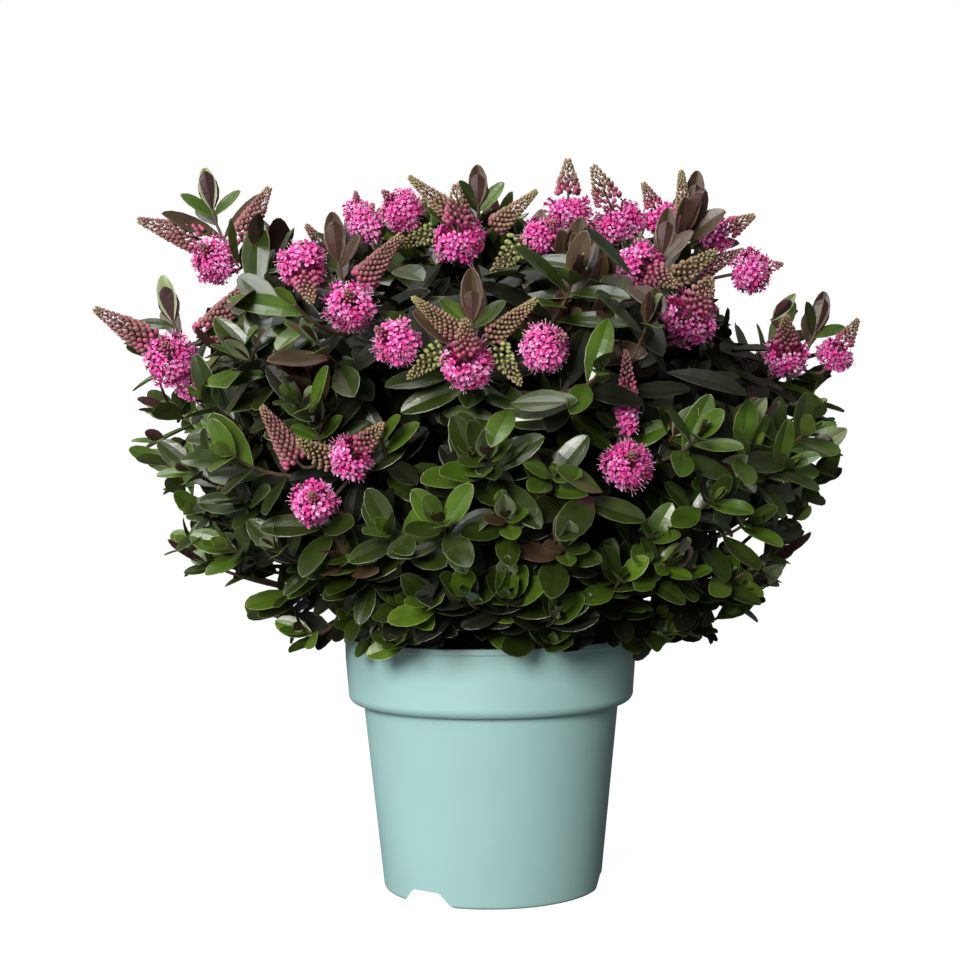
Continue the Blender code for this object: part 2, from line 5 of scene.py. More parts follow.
import bmesh
import bpy
from mathutils import Matrix, Vector, noise
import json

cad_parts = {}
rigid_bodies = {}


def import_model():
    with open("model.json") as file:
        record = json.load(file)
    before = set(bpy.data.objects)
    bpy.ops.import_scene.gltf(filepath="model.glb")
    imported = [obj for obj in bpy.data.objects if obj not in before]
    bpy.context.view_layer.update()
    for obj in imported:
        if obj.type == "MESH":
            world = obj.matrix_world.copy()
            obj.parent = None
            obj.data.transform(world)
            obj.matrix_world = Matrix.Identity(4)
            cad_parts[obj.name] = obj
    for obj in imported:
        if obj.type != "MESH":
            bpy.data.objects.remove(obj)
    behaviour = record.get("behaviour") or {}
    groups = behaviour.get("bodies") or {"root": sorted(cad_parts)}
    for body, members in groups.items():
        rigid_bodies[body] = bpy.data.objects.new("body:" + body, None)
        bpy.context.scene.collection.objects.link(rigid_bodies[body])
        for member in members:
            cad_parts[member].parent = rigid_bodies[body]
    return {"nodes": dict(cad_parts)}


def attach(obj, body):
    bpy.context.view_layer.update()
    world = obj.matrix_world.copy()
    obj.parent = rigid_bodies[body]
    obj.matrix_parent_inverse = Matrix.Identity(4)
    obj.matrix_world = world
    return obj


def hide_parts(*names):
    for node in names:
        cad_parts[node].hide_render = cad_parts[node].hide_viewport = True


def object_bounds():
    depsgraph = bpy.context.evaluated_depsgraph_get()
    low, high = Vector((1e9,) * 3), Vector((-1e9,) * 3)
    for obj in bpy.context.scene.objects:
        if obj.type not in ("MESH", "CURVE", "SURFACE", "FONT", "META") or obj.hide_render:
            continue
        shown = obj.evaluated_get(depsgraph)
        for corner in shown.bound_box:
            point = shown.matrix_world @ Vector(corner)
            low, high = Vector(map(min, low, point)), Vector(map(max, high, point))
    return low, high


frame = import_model()
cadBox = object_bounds()
mm = 0.001
up = Vector((0, 0, 1))
golden = math.pi * (3 - math.sqrt(5))  # the turn from one shoot, floret or bud to the next
scene = bpy.context.scene
foliageNodes = sorted(name for name in frame["nodes"] if name.startswith("foliage_"))
boughNodes = sorted(name for name in frame["nodes"] if name.startswith("bough_"))


def towards(bearing):
    b = math.radians(bearing)
    return Vector((math.sin(b), -math.cos(b), 0))


def frameAt(origin, way, upperSide):  # a place with Z along the way, Y facing the upper side
    z = way.normalized()
    x = upperSide.cross(z)
    if x.length < 1e-4:
        x = Vector((1, 0, 0)).cross(z)
    x.normalize()
    rotation = Matrix((x, z.cross(x), z)).transposed().to_4x4()
    return Matrix.Translation(origin) @ rotation


def newObject(name, data):
    made = bpy.data.objects.new(name, data)
    scene.collection.objects.link(made)
    return made


def meshOf(name, bm):  # what the bmesh holds, which is then let go
    mesh = bpy.data.meshes.new(name)
    bm.to_mesh(mesh)
    bm.free()
    return mesh


def meshFrom(name, points, faces, finish=None, parts=None):
    mesh = bpy.data.meshes.new(name)
    mesh.from_pydata(points, [], faces)
    if finish:
        mesh.materials.append(finishes[finish])
    if parts:
        attribute = mesh.attributes.new("part", "INT", "FACE")
        attribute.data.foreach_set("value", parts)
    return mesh


def circle(sides, start=0.0):  # across and along at even steps round a circle
    angles = [math.tau * (k + start) / sides for k in range(sides)]
    return [(math.cos(a), math.sin(a)) for a in angles]


def band(start, sides):  # the faces between one ring of points and the next
    ring = [(k, (k + 1) % sides) for k in range(sides)]
    return [(start + k, start + n, start + sides + n, start + sides + k) for k, n in ring]


def makePlain(obj):  # the evaluated result as a plain mesh
    graph = bpy.context.evaluated_depsgraph_get()
    mesh = bpy.data.meshes.new_from_object(obj.evaluated_get(graph), depsgraph=graph)
    name = obj.name
    bpy.data.objects.remove(obj)
    mesh.name = name
    return newObject(name, mesh)


def ridePlant(piece, nodes):
    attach(piece, "root")
    if nodes:
        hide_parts(*nodes)
    triangles = sum(len(p.vertices) - 2 for p in piece.data.polygons)
    print(f"  {piece.name}: {triangles} triangles")


# Camera, lights and floor, in metres and degrees, with the lens in mm
camera = {"distance": 1.15, "height": 0.281, "lens": 66.3, "turn": 0.29, "tilt": -0.9, "roll": 0.53}
lamps = {
    "keyLight": {"place": (-0.57, -1.8, 0.8), "size": 0.6, "power": 39.3, "tint": (1, 0.975, 0.93)},
    "topLight": {"place": (-0.35, 0.1, 1.6), "size": 0.9, "power": 10, "tint": (1, 1, 1)},
    "leftLight": {"place": (-1.3, -0.3, 1.1), "size": 0.8, "power": 13, "tint": (0.98, 0.99, 1)},
}
studio = {
    "fill": 0.17,
    "fillTint": (0.95, 0.98, 1, 1),
    "lampTarget": Vector((0, 0, 0.3)),
    "floorRadius": 6,
    "floorColour": (0.15, 0.15, 0.15, 1),
    "floorGlow": 0.97,
    "floorDrop": 0.3 * mm,
}


def setCamera():
    turn, tilt, roll = (math.radians(camera[angle]) for angle in ("turn", "tilt", "roll"))
    ahead = Vector((-math.sin(turn) * math.cos(tilt), math.cos(turn) * math.cos(tilt), math.sin(tilt)))
    right = ahead.cross(up).normalized()
    above = right.cross(ahead)
    right, above = (
        right * math.cos(roll) - above * math.sin(roll),
        above * math.cos(roll) + right * math.sin(roll),
    )
    data = bpy.data.cameras.new("camera")
    data.lens = camera["lens"]
    data.sensor_width = 36
    data.clip_start = 0.05
    eye = newObject("camera", data)
    place = Matrix((right, above, -ahead)).transposed().to_4x4()
    eye.matrix_world = Matrix.Translation((0, -camera["distance"], camera["height"])) @ place
    scene.camera = eye


def splitByRay(tree, lit, seen, end):  # one shader lights the plant, the other is what the camera sees
    path = tree.nodes.new("ShaderNodeLightPath")
    mix = tree.nodes.new("ShaderNodeMixShader")
    tree.links.new(path.outputs["Is Camera Ray"], mix.inputs[0])
    tree.links.new(lit.outputs[0], mix.inputs[1])
    tree.links.new(seen.outputs[0], mix.inputs[2])
    tree.links.new(mix.outputs[0], tree.nodes[end].inputs["Surface"])


def setLights():
    for name, lamp in lamps.items():
        light = bpy.data.lights.new(name, "AREA")
        light.size = lamp["size"]
        light.energy = lamp["power"]
        light.color = lamp["tint"]
        obj = newObject(name, light)
        place = Vector(lamp["place"])
        obj.location = place
        obj.rotation_euler = (studio["lampTarget"] - place).to_track_quat("-Z", "Y").to_euler()
    world = bpy.data.worlds.new("studio")
    scene.world = world
    world.use_nodes = True
    tree = world.node_tree
    seen = tree.nodes["Background"]
    seen.inputs["Color"].default_value = (1, 1, 1, 1)
    seen.inputs["Strength"].default_value = 1.0
    fill = tree.nodes.new("ShaderNodeBackground")
    fill.inputs["Color"].default_value = studio["fillTint"]
    fill.inputs["Strength"].default_value = studio["fill"]
    splitByRay(tree, fill, seen, "World Output")


def layFloor():
    bm = bmesh.new()
    bmesh.ops.create_circle(bm, cap_ends=True, segments=96, radius=studio["floorRadius"])
    mesh = meshOf("floor", bm)
    paper = bpy.data.materials.new("paleFloor")
    paper.use_nodes = True
    tree = paper.node_tree
    plain = tree.nodes["Principled BSDF"]
    plain.inputs["Base Color"].default_value = studio["floorColour"]
    plain.inputs["Roughness"].default_value = 1.0
    plain.inputs["Specular IOR Level"].default_value = 0.0
    bright = tree.nodes.new("ShaderNodeEmission")
    bright.inputs["Strength"].default_value = studio["floorGlow"]
    both = tree.nodes.new("ShaderNodeAddShader")
    tree.links.new(plain.outputs[0], both.inputs[0])
    tree.links.new(bright.outputs[0], both.inputs[1])
    splitByRay(tree, plain, both, "Material Output")
    mesh.materials.append(paper)
    floor = newObject("floor", mesh)
    floor.location.z = -studio["floorDrop"]


def setStage():
    setCamera()
    setLights()
    layFloor()
    scene.view_settings.view_transform = "Standard"
    scene.view_settings.look = "None"


# Shader groups shared by the finishes
finishes = {}


def nodeGroup(name, kind, sockets):
    group = bpy.data.node_groups.new(name, kind)
    for label, way, holds, value in sockets:
        socket = group.interface.new_socket(label, in_out=way, socket_type=f"NodeSocket{holds}")
        if value is not None:
            socket.default_value = value
    return group, group.nodes.new("NodeGroupInput"), group.nodes.new("NodeGroupOutput")


def aroundOne(tree, amount):  # one less the amount, and one and the amount
    sockets = []
    for operation in ("SUBTRACT", "ADD"):
        node = tree.nodes.new("ShaderNodeMath")
        node.operation = operation
        node.inputs[0].default_value = 1.0
        tree.links.new(amount, node.inputs[1])
        sockets.append(node.outputs[0])
    return sockets


def cloudNode(tree, scale, detail):  # noise in the object's own metres
    place = tree.nodes.new("ShaderNodeTexCoord")
    cloud = tree.nodes.new("ShaderNodeTexNoise")
    cloud.inputs["Detail"].default_value = detail
    tree.links.new(place.outputs["Object"], cloud.inputs["Vector"])
    tree.links.new(scale, cloud.inputs["Scale"])
    return cloud.outputs["Fac"]


def mottleGroup():  # soft lighter and darker patches over a colour
    group, start, end = nodeGroup("mottle", "ShaderNodeTree", (
        ("Colour", "INPUT", "Color", None),
        ("Patches", "INPUT", "Float", 60.0),
        ("Spread", "INPUT", "Float", 0.25),
        ("Colour", "OUTPUT", "Color", None),
    ))
    level = group.nodes.new("ShaderNodeMapRange")
    level.inputs["From Min"].default_value = 0.3
    level.inputs["From Max"].default_value = 0.7
    tone = group.nodes.new("ShaderNodeHueSaturation")
    low, high = aroundOne(group, start.outputs["Spread"])
    link = group.links.new
    link(cloudNode(group, start.outputs["Patches"], 3.0), level.inputs["Value"])
    link(low, level.inputs["To Min"])
    link(high, level.inputs["To Max"])
    link(start.outputs["Colour"], tone.inputs["Color"])
    link(level.outputs["Result"], tone.inputs["Value"])
    link(tone.outputs["Color"], end.inputs["Colour"])
    return group


def grainGroup():  # fine surface relief
    group, start, end = nodeGroup("grain", "ShaderNodeTree", (
        ("Fineness", "INPUT", "Float", 900.0),
        ("Depth", "INPUT", "Float", 0.0002),
        ("Normal", "OUTPUT", "Vector", None),
    ))
    bump = group.nodes.new("ShaderNodeBump")
    link = group.links.new
    link(cloudNode(group, start.outputs["Fineness"], 4.0), bump.inputs["Height"])
    link(start.outputs["Depth"], bump.inputs["Distance"])
    link(bump.outputs["Normal"], end.inputs["Normal"])
    return group


def makeFinish(name, colour, roughness, patches, spread, fineness=900.0, depth=0.15 * mm, coat=0.0,
               specular=0.5):
    finish = bpy.data.materials.new(name)
    finish.use_nodes = True
    nodes = finish.node_tree.nodes
    link = finish.node_tree.links.new
    shader = nodes["Principled BSDF"]
    mottle = nodes.new("ShaderNodeGroup")
    mottle.node_tree = groups["mottle"]
    mottle.inputs["Colour"].default_value = (*colour, 1)
    mottle.inputs["Patches"].default_value = patches
    mottle.inputs["Spread"].default_value = spread
    grain = nodes.new("ShaderNodeGroup")
    grain.node_tree = groups["grain"]
    grain.inputs["Fineness"].default_value = fineness
    grain.inputs["Depth"].default_value = depth
    link(mottle.outputs["Colour"], shader.inputs["Base Color"])
    link(grain.outputs["Normal"], shader.inputs["Normal"])
    shader.inputs["Roughness"].default_value = roughness
    shader.inputs["Coat Weight"].default_value = coat
    shader.inputs["Coat Roughness"].default_value = 0.29
    shader.inputs["Specular IOR Level"].default_value = specular
    finish.diffuse_color = (*colour, 1)
    finishes[name] = finish


# Geometry Nodes trees
throughput = (("Geometry", "INPUT", "Geometry", None), ("Geometry", "OUTPUT", "Geometry", None))


def attributeNode(tree, name, kind):
    node = tree.nodes.new("GeometryNodeInputNamedAttribute")
    node.data_type = kind
    node.inputs["Name"].default_value = name
    return node.outputs["Attribute"]


def setOutTree(partCount):  # a chosen shape on every point, with its own turn and size
    tree, start, end = nodeGroup(f"setOut{partCount}", "GeometryNodeTree", (
        *throughput,
        ("Shapes", "INPUT", "Collection", None),
        ("Size", "INPUT", "Float", 1.0),
        ("Size Spread", "INPUT", "Float", 0.06),
        ("Seed", "INPUT", "Int", 1),
        *((f"Finish {i + 1}", "INPUT", "Material", None) for i in range(partCount)),
    ))
    link = tree.links.new
    shapes = tree.nodes.new("GeometryNodeCollectionInfo")
    shapes.inputs["Separate Children"].default_value = True
    shapes.inputs["Reset Children"].default_value = True
    less, more = aroundOne(tree, start.outputs["Size Spread"])
    vary = tree.nodes.new("FunctionNodeRandomValue")
    vary.data_type = "FLOAT"
    both = tree.nodes.new("ShaderNodeMath")
    both.operation = "MULTIPLY"
    span = tree.nodes.new("ShaderNodeVectorMath")
    span.operation = "SCALE"
    place = tree.nodes.new("GeometryNodeInstanceOnPoints")
    place.inputs["Pick Instance"].default_value = True
    real = tree.nodes.new("GeometryNodeRealizeInstances")
    link(start.outputs["Shapes"], shapes.inputs["Collection"])
    link(less, vary.inputs[2])
    link(more, vary.inputs[3])
    link(start.outputs["Seed"], vary.inputs["Seed"])
    link(vary.outputs[1], both.inputs[0])
    link(start.outputs["Size"], both.inputs[1])
    link(attributeNode(tree, "span", "FLOAT_VECTOR"), span.inputs[0])
    link(both.outputs[0], span.inputs["Scale"])
    link(start.outputs["Geometry"], place.inputs["Points"])
    link(shapes.outputs["Instances"], place.inputs["Instance"])
    link(attributeNode(tree, "pick", "INT"), place.inputs["Instance Index"])
    link(attributeNode(tree, "turn", "FLOAT_VECTOR"), place.inputs["Rotation"])
    link(span.outputs["Vector"], place.inputs["Scale"])
    link(place.outputs["Instances"], real.inputs["Geometry"])
    last = real.outputs["Geometry"]
    part = attributeNode(tree, "part", "INT")
    for i in range(partCount):
        paint = tree.nodes.new("GeometryNodeSetMaterial")
        link(last, paint.inputs["Geometry"])
        link(start.outputs[f"Finish {i + 1}"], paint.inputs["Material"])
        if i:
            same = tree.nodes.new("FunctionNodeCompare")
            same.data_type = "INT"
            same.operation = "EQUAL"
            compared = {socket.identifier: socket for socket in same.inputs}
            compared["B_INT"].default_value = i
            link(part, compared["A_INT"])
            link(same.outputs["Result"], paint.inputs["Selection"])
        last = paint.outputs["Geometry"]
    link(last, end.inputs["Geometry"])
    return tree


def stemTree():  # round stems along paths, with the paths' own radii
    tree, start, end = nodeGroup("stems", "GeometryNodeTree", (
        *throughput,
        ("Sides", "INPUT", "Int", 6),
        ("Finish", "INPUT", "Material", None),
    ))
    link = tree.links.new
    ring = tree.nodes.new("GeometryNodeCurvePrimitiveCircle")
    ring.inputs["Radius"].default_value = 1.0
    radius = tree.nodes.new("GeometryNodeInputRadius")
    skin = tree.nodes.new("GeometryNodeCurveToMesh")
    skin.inputs["Fill Caps"].default_value = True
    real = tree.nodes.new("GeometryNodeRealizeInstances")
    paint = tree.nodes.new("GeometryNodeSetMaterial")
    link(start.outputs["Geometry"], skin.inputs["Curve"])
    link(start.outputs["Sides"], ring.inputs["Resolution"])
    link(ring.outputs["Curve"], skin.inputs["Profile Curve"])
    link(radius.outputs["Radius"], skin.inputs["Scale"])
    link(skin.outputs["Mesh"], real.inputs["Geometry"])
    link(real.outputs["Geometry"], paint.inputs["Geometry"])
    link(start.outputs["Finish"], paint.inputs["Material"])
    link(paint.outputs["Geometry"], end.inputs["Geometry"])
    return tree


def runTree(obj, tree, values):
    modifier = obj.modifiers.new(tree.name, "NODES")
    modifier.node_group = tree
    for item in tree.interface.items_tree:
        if item.name in values and item.in_out == "INPUT":
            modifier[item.identifier] = values[item.name]
    return makePlain(obj)


def shapeShelf(name, meshes):  # a collection of shapes to choose from, in the order given
    shelf = bpy.data.collections.new(name)
    for i, mesh in enumerate(meshes):
        shelf.objects.link(bpy.data.objects.new(f"{name}{i:02d}", mesh))
    return shelf


class PointSet:  # where shapes are set out
    def __init__(self):
        self.places = []
        self.turns = []
        self.spans = []
        self.picks = []

    def add(self, matrix, span, pick=0):
        self.places.append(matrix.translation.copy())
        self.turns += matrix.to_euler()
        self.spans += span
        self.picks.append(pick)

    def part(self, share):  # those of the given numbers
        made = PointSet()
        for i in share:
            made.places.append(self.places[i])
            made.turns += self.turns[i * 3:i * 3 + 3]
            made.spans += self.spans[i * 3:i * 3 + 3]
            made.picks.append(self.picks[i])
        return made

    def build(self, name, shapes, seed, parts, spread=0.06):
        mesh = bpy.data.meshes.new(name)
        mesh.from_pydata(self.places, [], [])
        for label, rows in (("turn", self.turns), ("span", self.spans)):
            mesh.attributes.new(label, "FLOAT_VECTOR", "POINT").data.foreach_set("vector", rows)
        mesh.attributes.new("pick", "INT", "POINT").data.foreach_set("value", self.picks)
        values = {"Shapes": shapes, "Seed": seed, "Size Spread": spread}
        for i, finish in enumerate(parts):
            values[f"Finish {i + 1}"] = finishes[finish]
        return runTree(newObject(name, mesh), trees[f"setOut{len(parts)}"], values)


class PathSet:  # round stems along paths
    def __init__(self):
        self.paths = []

    def add(self, points, radii):
        self.paths.append((points, radii))

    def build(self, name, sides, finish):
        data = bpy.data.curves.new(name, "CURVE")
        data.dimensions = "3D"
        for points, radii in self.paths:
            spline = data.splines.new("POLY")
            spline.points.add(len(points) - 1)
            for spot, point, radius in zip(spline.points, points, radii):
                spot.co = (*point, 1)
                spot.radius = radius
        return runTree(newObject(name, data), trees["stems"], {"Sides": sides, "Finish": finishes[finish]})


# The pot
pot = {
    "height": 163 * mm,
    "rimRadius": 95 * mm,
    "collarDepth": 43.5 * mm,
    "collarLowRadius": 92.4 * mm,
    "bodyTopRadius": 82.6 * mm,
    "bodyLowRadius": 70.5 * mm,
    "footRounding": 2.4 * mm,
    "wall": 1.6 * mm,
    "floor": 2.6 * mm,
    "notchBearings": (-36, 84, 204),
    "notchHeight": 9 * mm,
    "notchTopWidth": 17 * mm,
    "notchFootWidth": 31 * mm,
    "notchReach": (30 * mm, 73 * mm),
    "notchSplay": 26 * mm,
    "steps": 160,
}


def arc(centre, radius, start, end, count):
    angles = [math.radians(start + (end - start) * i / (count - 1)) for i in range(count)]
    return [(centre[0] + radius * math.cos(a), centre[1] + radius * math.sin(a)) for a in angles]


def innerWall():
    step = pot["height"] - pot["collarDepth"]
    return [
        (pot["bodyLowRadius"] - pot["wall"] - 3 * mm, pot["floor"]),
        (pot["bodyLowRadius"] - pot["wall"], 9 * mm),
        (pot["bodyTopRadius"] - pot["wall"], step + 1.5 * mm),
        (pot["bodyTopRadius"] + 4.9 * mm, step + 4.5 * mm),
        (pot["collarLowRadius"] - pot["wall"], step + 12 * mm),
        (pot["rimRadius"] - pot["wall"] - 0.8 * mm, pot["height"] - 0.7 * mm),
    ]


def turnedMesh(name, profile):  # from a profile that starts and ends on the axis, its outer side going down
    bm = bmesh.new()
    corners = [bm.verts.new((r, 0, z)) for r, z in profile]
    for a, b in zip(corners, corners[1:]):
        bm.edges.new((a, b))
    made = newObject(name, meshOf(name, bm))
    screw = made.modifiers.new("turn", "SCREW")
    screw.steps = pot["steps"]
    screw.render_steps = pot["steps"]
    screw.use_merge_vertices = True
    screw.merge_threshold = 0.01 * mm
    return made


def notchBar(bearing, halfWidths, height, foot, reach, rounding):  # wider at its inner end
    low, top = halfWidths
    low += (low - top) * -foot / height
    bm = bmesh.new()
    section = ((-low, foot), (low, foot), (top, height), (-top, height))
    ends = []
    for y, splay in zip(reach, (pot["notchSplay"], 0)):
        ends.append([bm.verts.new((x + math.copysign(splay, x), -y, z)) for x, z in section])
    bm.faces.new(ends[0])
    bm.faces.new(ends[1])
    for i in range(4):
        bm.faces.new((ends[0][i - 1], ends[0][i], ends[1][i], ends[1][i - 1]))
    bmesh.ops.recalc_face_normals(bm, faces=bm.faces)
    if rounding:
        long = [e for e in bm.edges if abs(e.verts[0].co.y - e.verts[1].co.y) > 1 * mm]
        long = [e for e in long if e.verts[0].co.z > height / 2]
        bmesh.ops.bevel(bm, geom=long, offset=rounding, segments=4, profile=0.5, affect="EDGES")
    bmesh.ops.rotate(bm, matrix=Matrix.Rotation(math.radians(bearing), 3, "Z"), verts=bm.verts)
    return newObject("notchBar", meshOf("notchBar", bm))


def collectObjects(name, objects):
    made = bpy.data.collections.new(name)
    for obj in objects:
        made.objects.link(obj)
    return made


def boolean(obj, operation, collection):
    made = obj.modifiers.new(operation, "BOOLEAN")
    made.operation = operation
    made.operand_type = "COLLECTION"
    made.collection = collection
    made.solver = "EXACT"


def buildPot():
    low = pot["height"] - pot["collarDepth"]
    rim = pot["rimRadius"]
    bend = pot["collarLowRadius"] - 6 * mm
    foot = pot["footRounding"]
    outer = [
        *arc((rim - 0.8 * mm, pot["height"] - 0.8 * mm), 0.8 * mm, 90, 0, 5),
        (rim, pot["height"] - 2.6 * mm),
        *arc((rim - 0.3 * mm, pot["height"] - 3.2 * mm), 0.4 * mm, 20, -60, 3),
        (rim - 0.65 * mm, pot["height"] - 4.4 * mm),
        (rim - 0.9 * mm, pot["height"] - 14 * mm),
        *arc((bend, low + 6.5 * mm), 6 * mm, 6, -84, 12),
        (pot["bodyTopRadius"] + 1.6 * mm, low + 0.1 * mm),
        (pot["bodyTopRadius"] + 0.7 * mm, low + 1.3 * mm),
        (pot["bodyTopRadius"] + 0.2 * mm, low + 0.9 * mm),
        (pot["bodyTopRadius"], low - 0.6 * mm),
        *arc((pot["bodyLowRadius"] - foot, foot), foot, 0, -90, 8),
        (0, 0),
    ]
    lip = arc((rim - pot["wall"], pot["height"] - 0.7 * mm), 0.8 * mm, 180, 90, 4)
    body = turnedMesh("nurseryPot", [(0, pot["floor"])] + innerWall()[:-1] + lip + outer)
    top = pot["notchHeight"] + pot["wall"]
    middle = pot["bodyLowRadius"] - pot["wall"] / 2
    spread = (pot["bodyTopRadius"] - pot["bodyLowRadius"]) / low
    bm = bmesh.new()
    bmesh.ops.create_cone(bm, cap_ends=True, segments=96, depth=2 * top,
                          radius1=middle - spread * top / 2, radius2=middle + spread * top * 1.5)
    bmesh.ops.translate(bm, vec=up * top / 2, verts=bm.verts)
    trim = newObject("trim", meshOf("trim", bm))
    trimSet = collectObjects("trimSet", [trim])
    half = (pot["notchFootWidth"] / 2, pot["notchTopWidth"] / 2)
    cuts = []
    covers = []
    for bearing in pot["notchBearings"]:
        cuts.append(notchBar(bearing, half, pot["notchHeight"], -3 * mm, pot["notchReach"], 1.6 * mm))
        wide = [w + pot["wall"] for w in half]
        reach = (pot["notchReach"][0] - pot["wall"], pot["notchReach"][1] + 2 * mm)
        cover = notchBar(bearing, wide, top, 0.8 * mm, reach, 0)
        boolean(cover, "INTERSECT", trimSet)
        covers.append(cover)
    boolean(body, "UNION", collectObjects("coverSet", covers))
    boolean(body, "DIFFERENCE", collectObjects("cutSet", cuts))
    made = makePlain(body)
    for obj in [trim, *cuts, *covers]:
        bpy.data.objects.remove(obj)
    made.data.materials.clear()
    made.data.materials.append(finishes["potPlastic"])
    made.data.shade_smooth()
    markSharp(made, 28)
    ridePlant(made, ["pot"])


def markSharp(obj, degrees):  # where faces meet at more than this
    bm = bmesh.new()
    bm.from_mesh(obj.data)
    bmesh.ops.remove_doubles(bm, verts=bm.verts, dist=0.005 * mm)
    limit = math.radians(degrees)
    for edge in bm.edges:
        edge.smooth = len(edge.link_faces) == 2 and edge.calc_face_angle(0) < limit
    bm.to_mesh(obj.data)
    bm.free()


# The potting mix
soil = {
    "top": 158 * mm,
    "bottom": 12 * mm,
    "wallGap": 0.6 * mm,
    "relief": 3 * mm,
    "crumbs": 900,
    "chips": 260,
    "seed": 4,
}


def innerRadius(height):
    wall = innerWall()
    for (r0, z0), (r1, z1) in zip(wall, wall[1:]):
        if height <= z1:
            return r0 + (r1 - r0) * max(0.0, (height - z0) / (z1 - z0))
    return wall[-1][0]


def soilHeight(x, y):
    spot = Vector((x, y, 0))
    rough = noise.noise(spot * 45) * 0.7 + noise.noise(spot * 130) * 0.45 + noise.noise(spot * 420) * 0.2
    edge = max(0.0, (math.hypot(x, y) - 70 * mm) / (20 * mm))
    return soil["top"] - 2 * mm + rough * soil["relief"] - edge * 1.5 * mm


def buildSoil():
    rings = 34
    sides = 96
    radius = innerRadius(soil["top"] - 4 * mm) - soil["wallGap"]
    points = [(0, 0, soilHeight(0, 0))]
    for i in range(1, rings + 1):
        r = radius * i / rings
        points += [(r * x, r * y, soilHeight(r * x, r * y)) for x, y in circle(sides)]
    wall = [z for _, z in innerWall() if soil["bottom"] < z < soil["top"] - 8 * mm]
    for z in [*reversed(wall), soil["bottom"]]:
        r = innerRadius(z) - soil["wallGap"]
        points += [(r * x, r * y, z) for x, y in circle(sides)]
    faces = [(0, 1 + j, 1 + (j + 1) % sides) for j in range(sides)]
    loops = (len(points) - 1) // sides
    for i in range(loops - 1):
        faces += [(a, d, c, b) for a, b, c, d in band(1 + i * sides, sides)]
    faces.append(tuple(1 + (loops - 1) * sides + j for j in reversed(range(sides))))
    body = newObject("pottingMix", meshFrom("pottingMix", points, faces, "soil"))
    body.data.shade_smooth()
    ridePlant(body, ["soil"])
    chance = random.Random(soil["seed"])
    crumb = shapeShelf("crumb", [lumpMesh(f"crumb{i}", i) for i in range(4)])
    crumbs = PointSet()
    chips = PointSet()
    for i in range(soil["crumbs"] + soil["chips"]):
        isChip = i >= soil["crumbs"]
        r = (radius - 7 * mm) * math.sqrt(chance.random())
        a = chance.uniform(0, math.tau)
        x, y = r * math.cos(a), r * math.sin(a)
        way = Vector((chance.uniform(-1, 1), chance.uniform(-1, 1), chance.uniform(0.1, 0.9)))
        size = chance.uniform(1.2, 3.2) * mm
        span = (size, size * chance.uniform(0.6, 1), size * chance.uniform(0.7, 1.3))
        if isChip:
            way.z = chance.uniform(-0.25, 0.25)
            size = chance.uniform(2.4, 5) * mm
            span = (size, size * 0.3, size * chance.uniform(1.2, 2.4))
        spot = Vector((x, y, soilHeight(x, y) + size * 0.15))
        target = chips if isChip else crumbs
        target.add(frameAt(spot, way, up), span, chance.randrange(4))
    ridePlant(crumbs.build("crumbs", crumb, 3, ["soil"]), [])
    ridePlant(chips.build("barkChips", crumb, 3, ["barkChip"]), [])


def lumpMesh(name, seed):
    bm = bmesh.new()
    bmesh.ops.create_icosphere(bm, subdivisions=1, radius=1)
    for v in bm.verts:
        v.co *= 1 + noise.noise(v.co * 1.3 + Vector((seed * 7.1, 0, 0))) * 0.7
    return meshOf(name, bm)


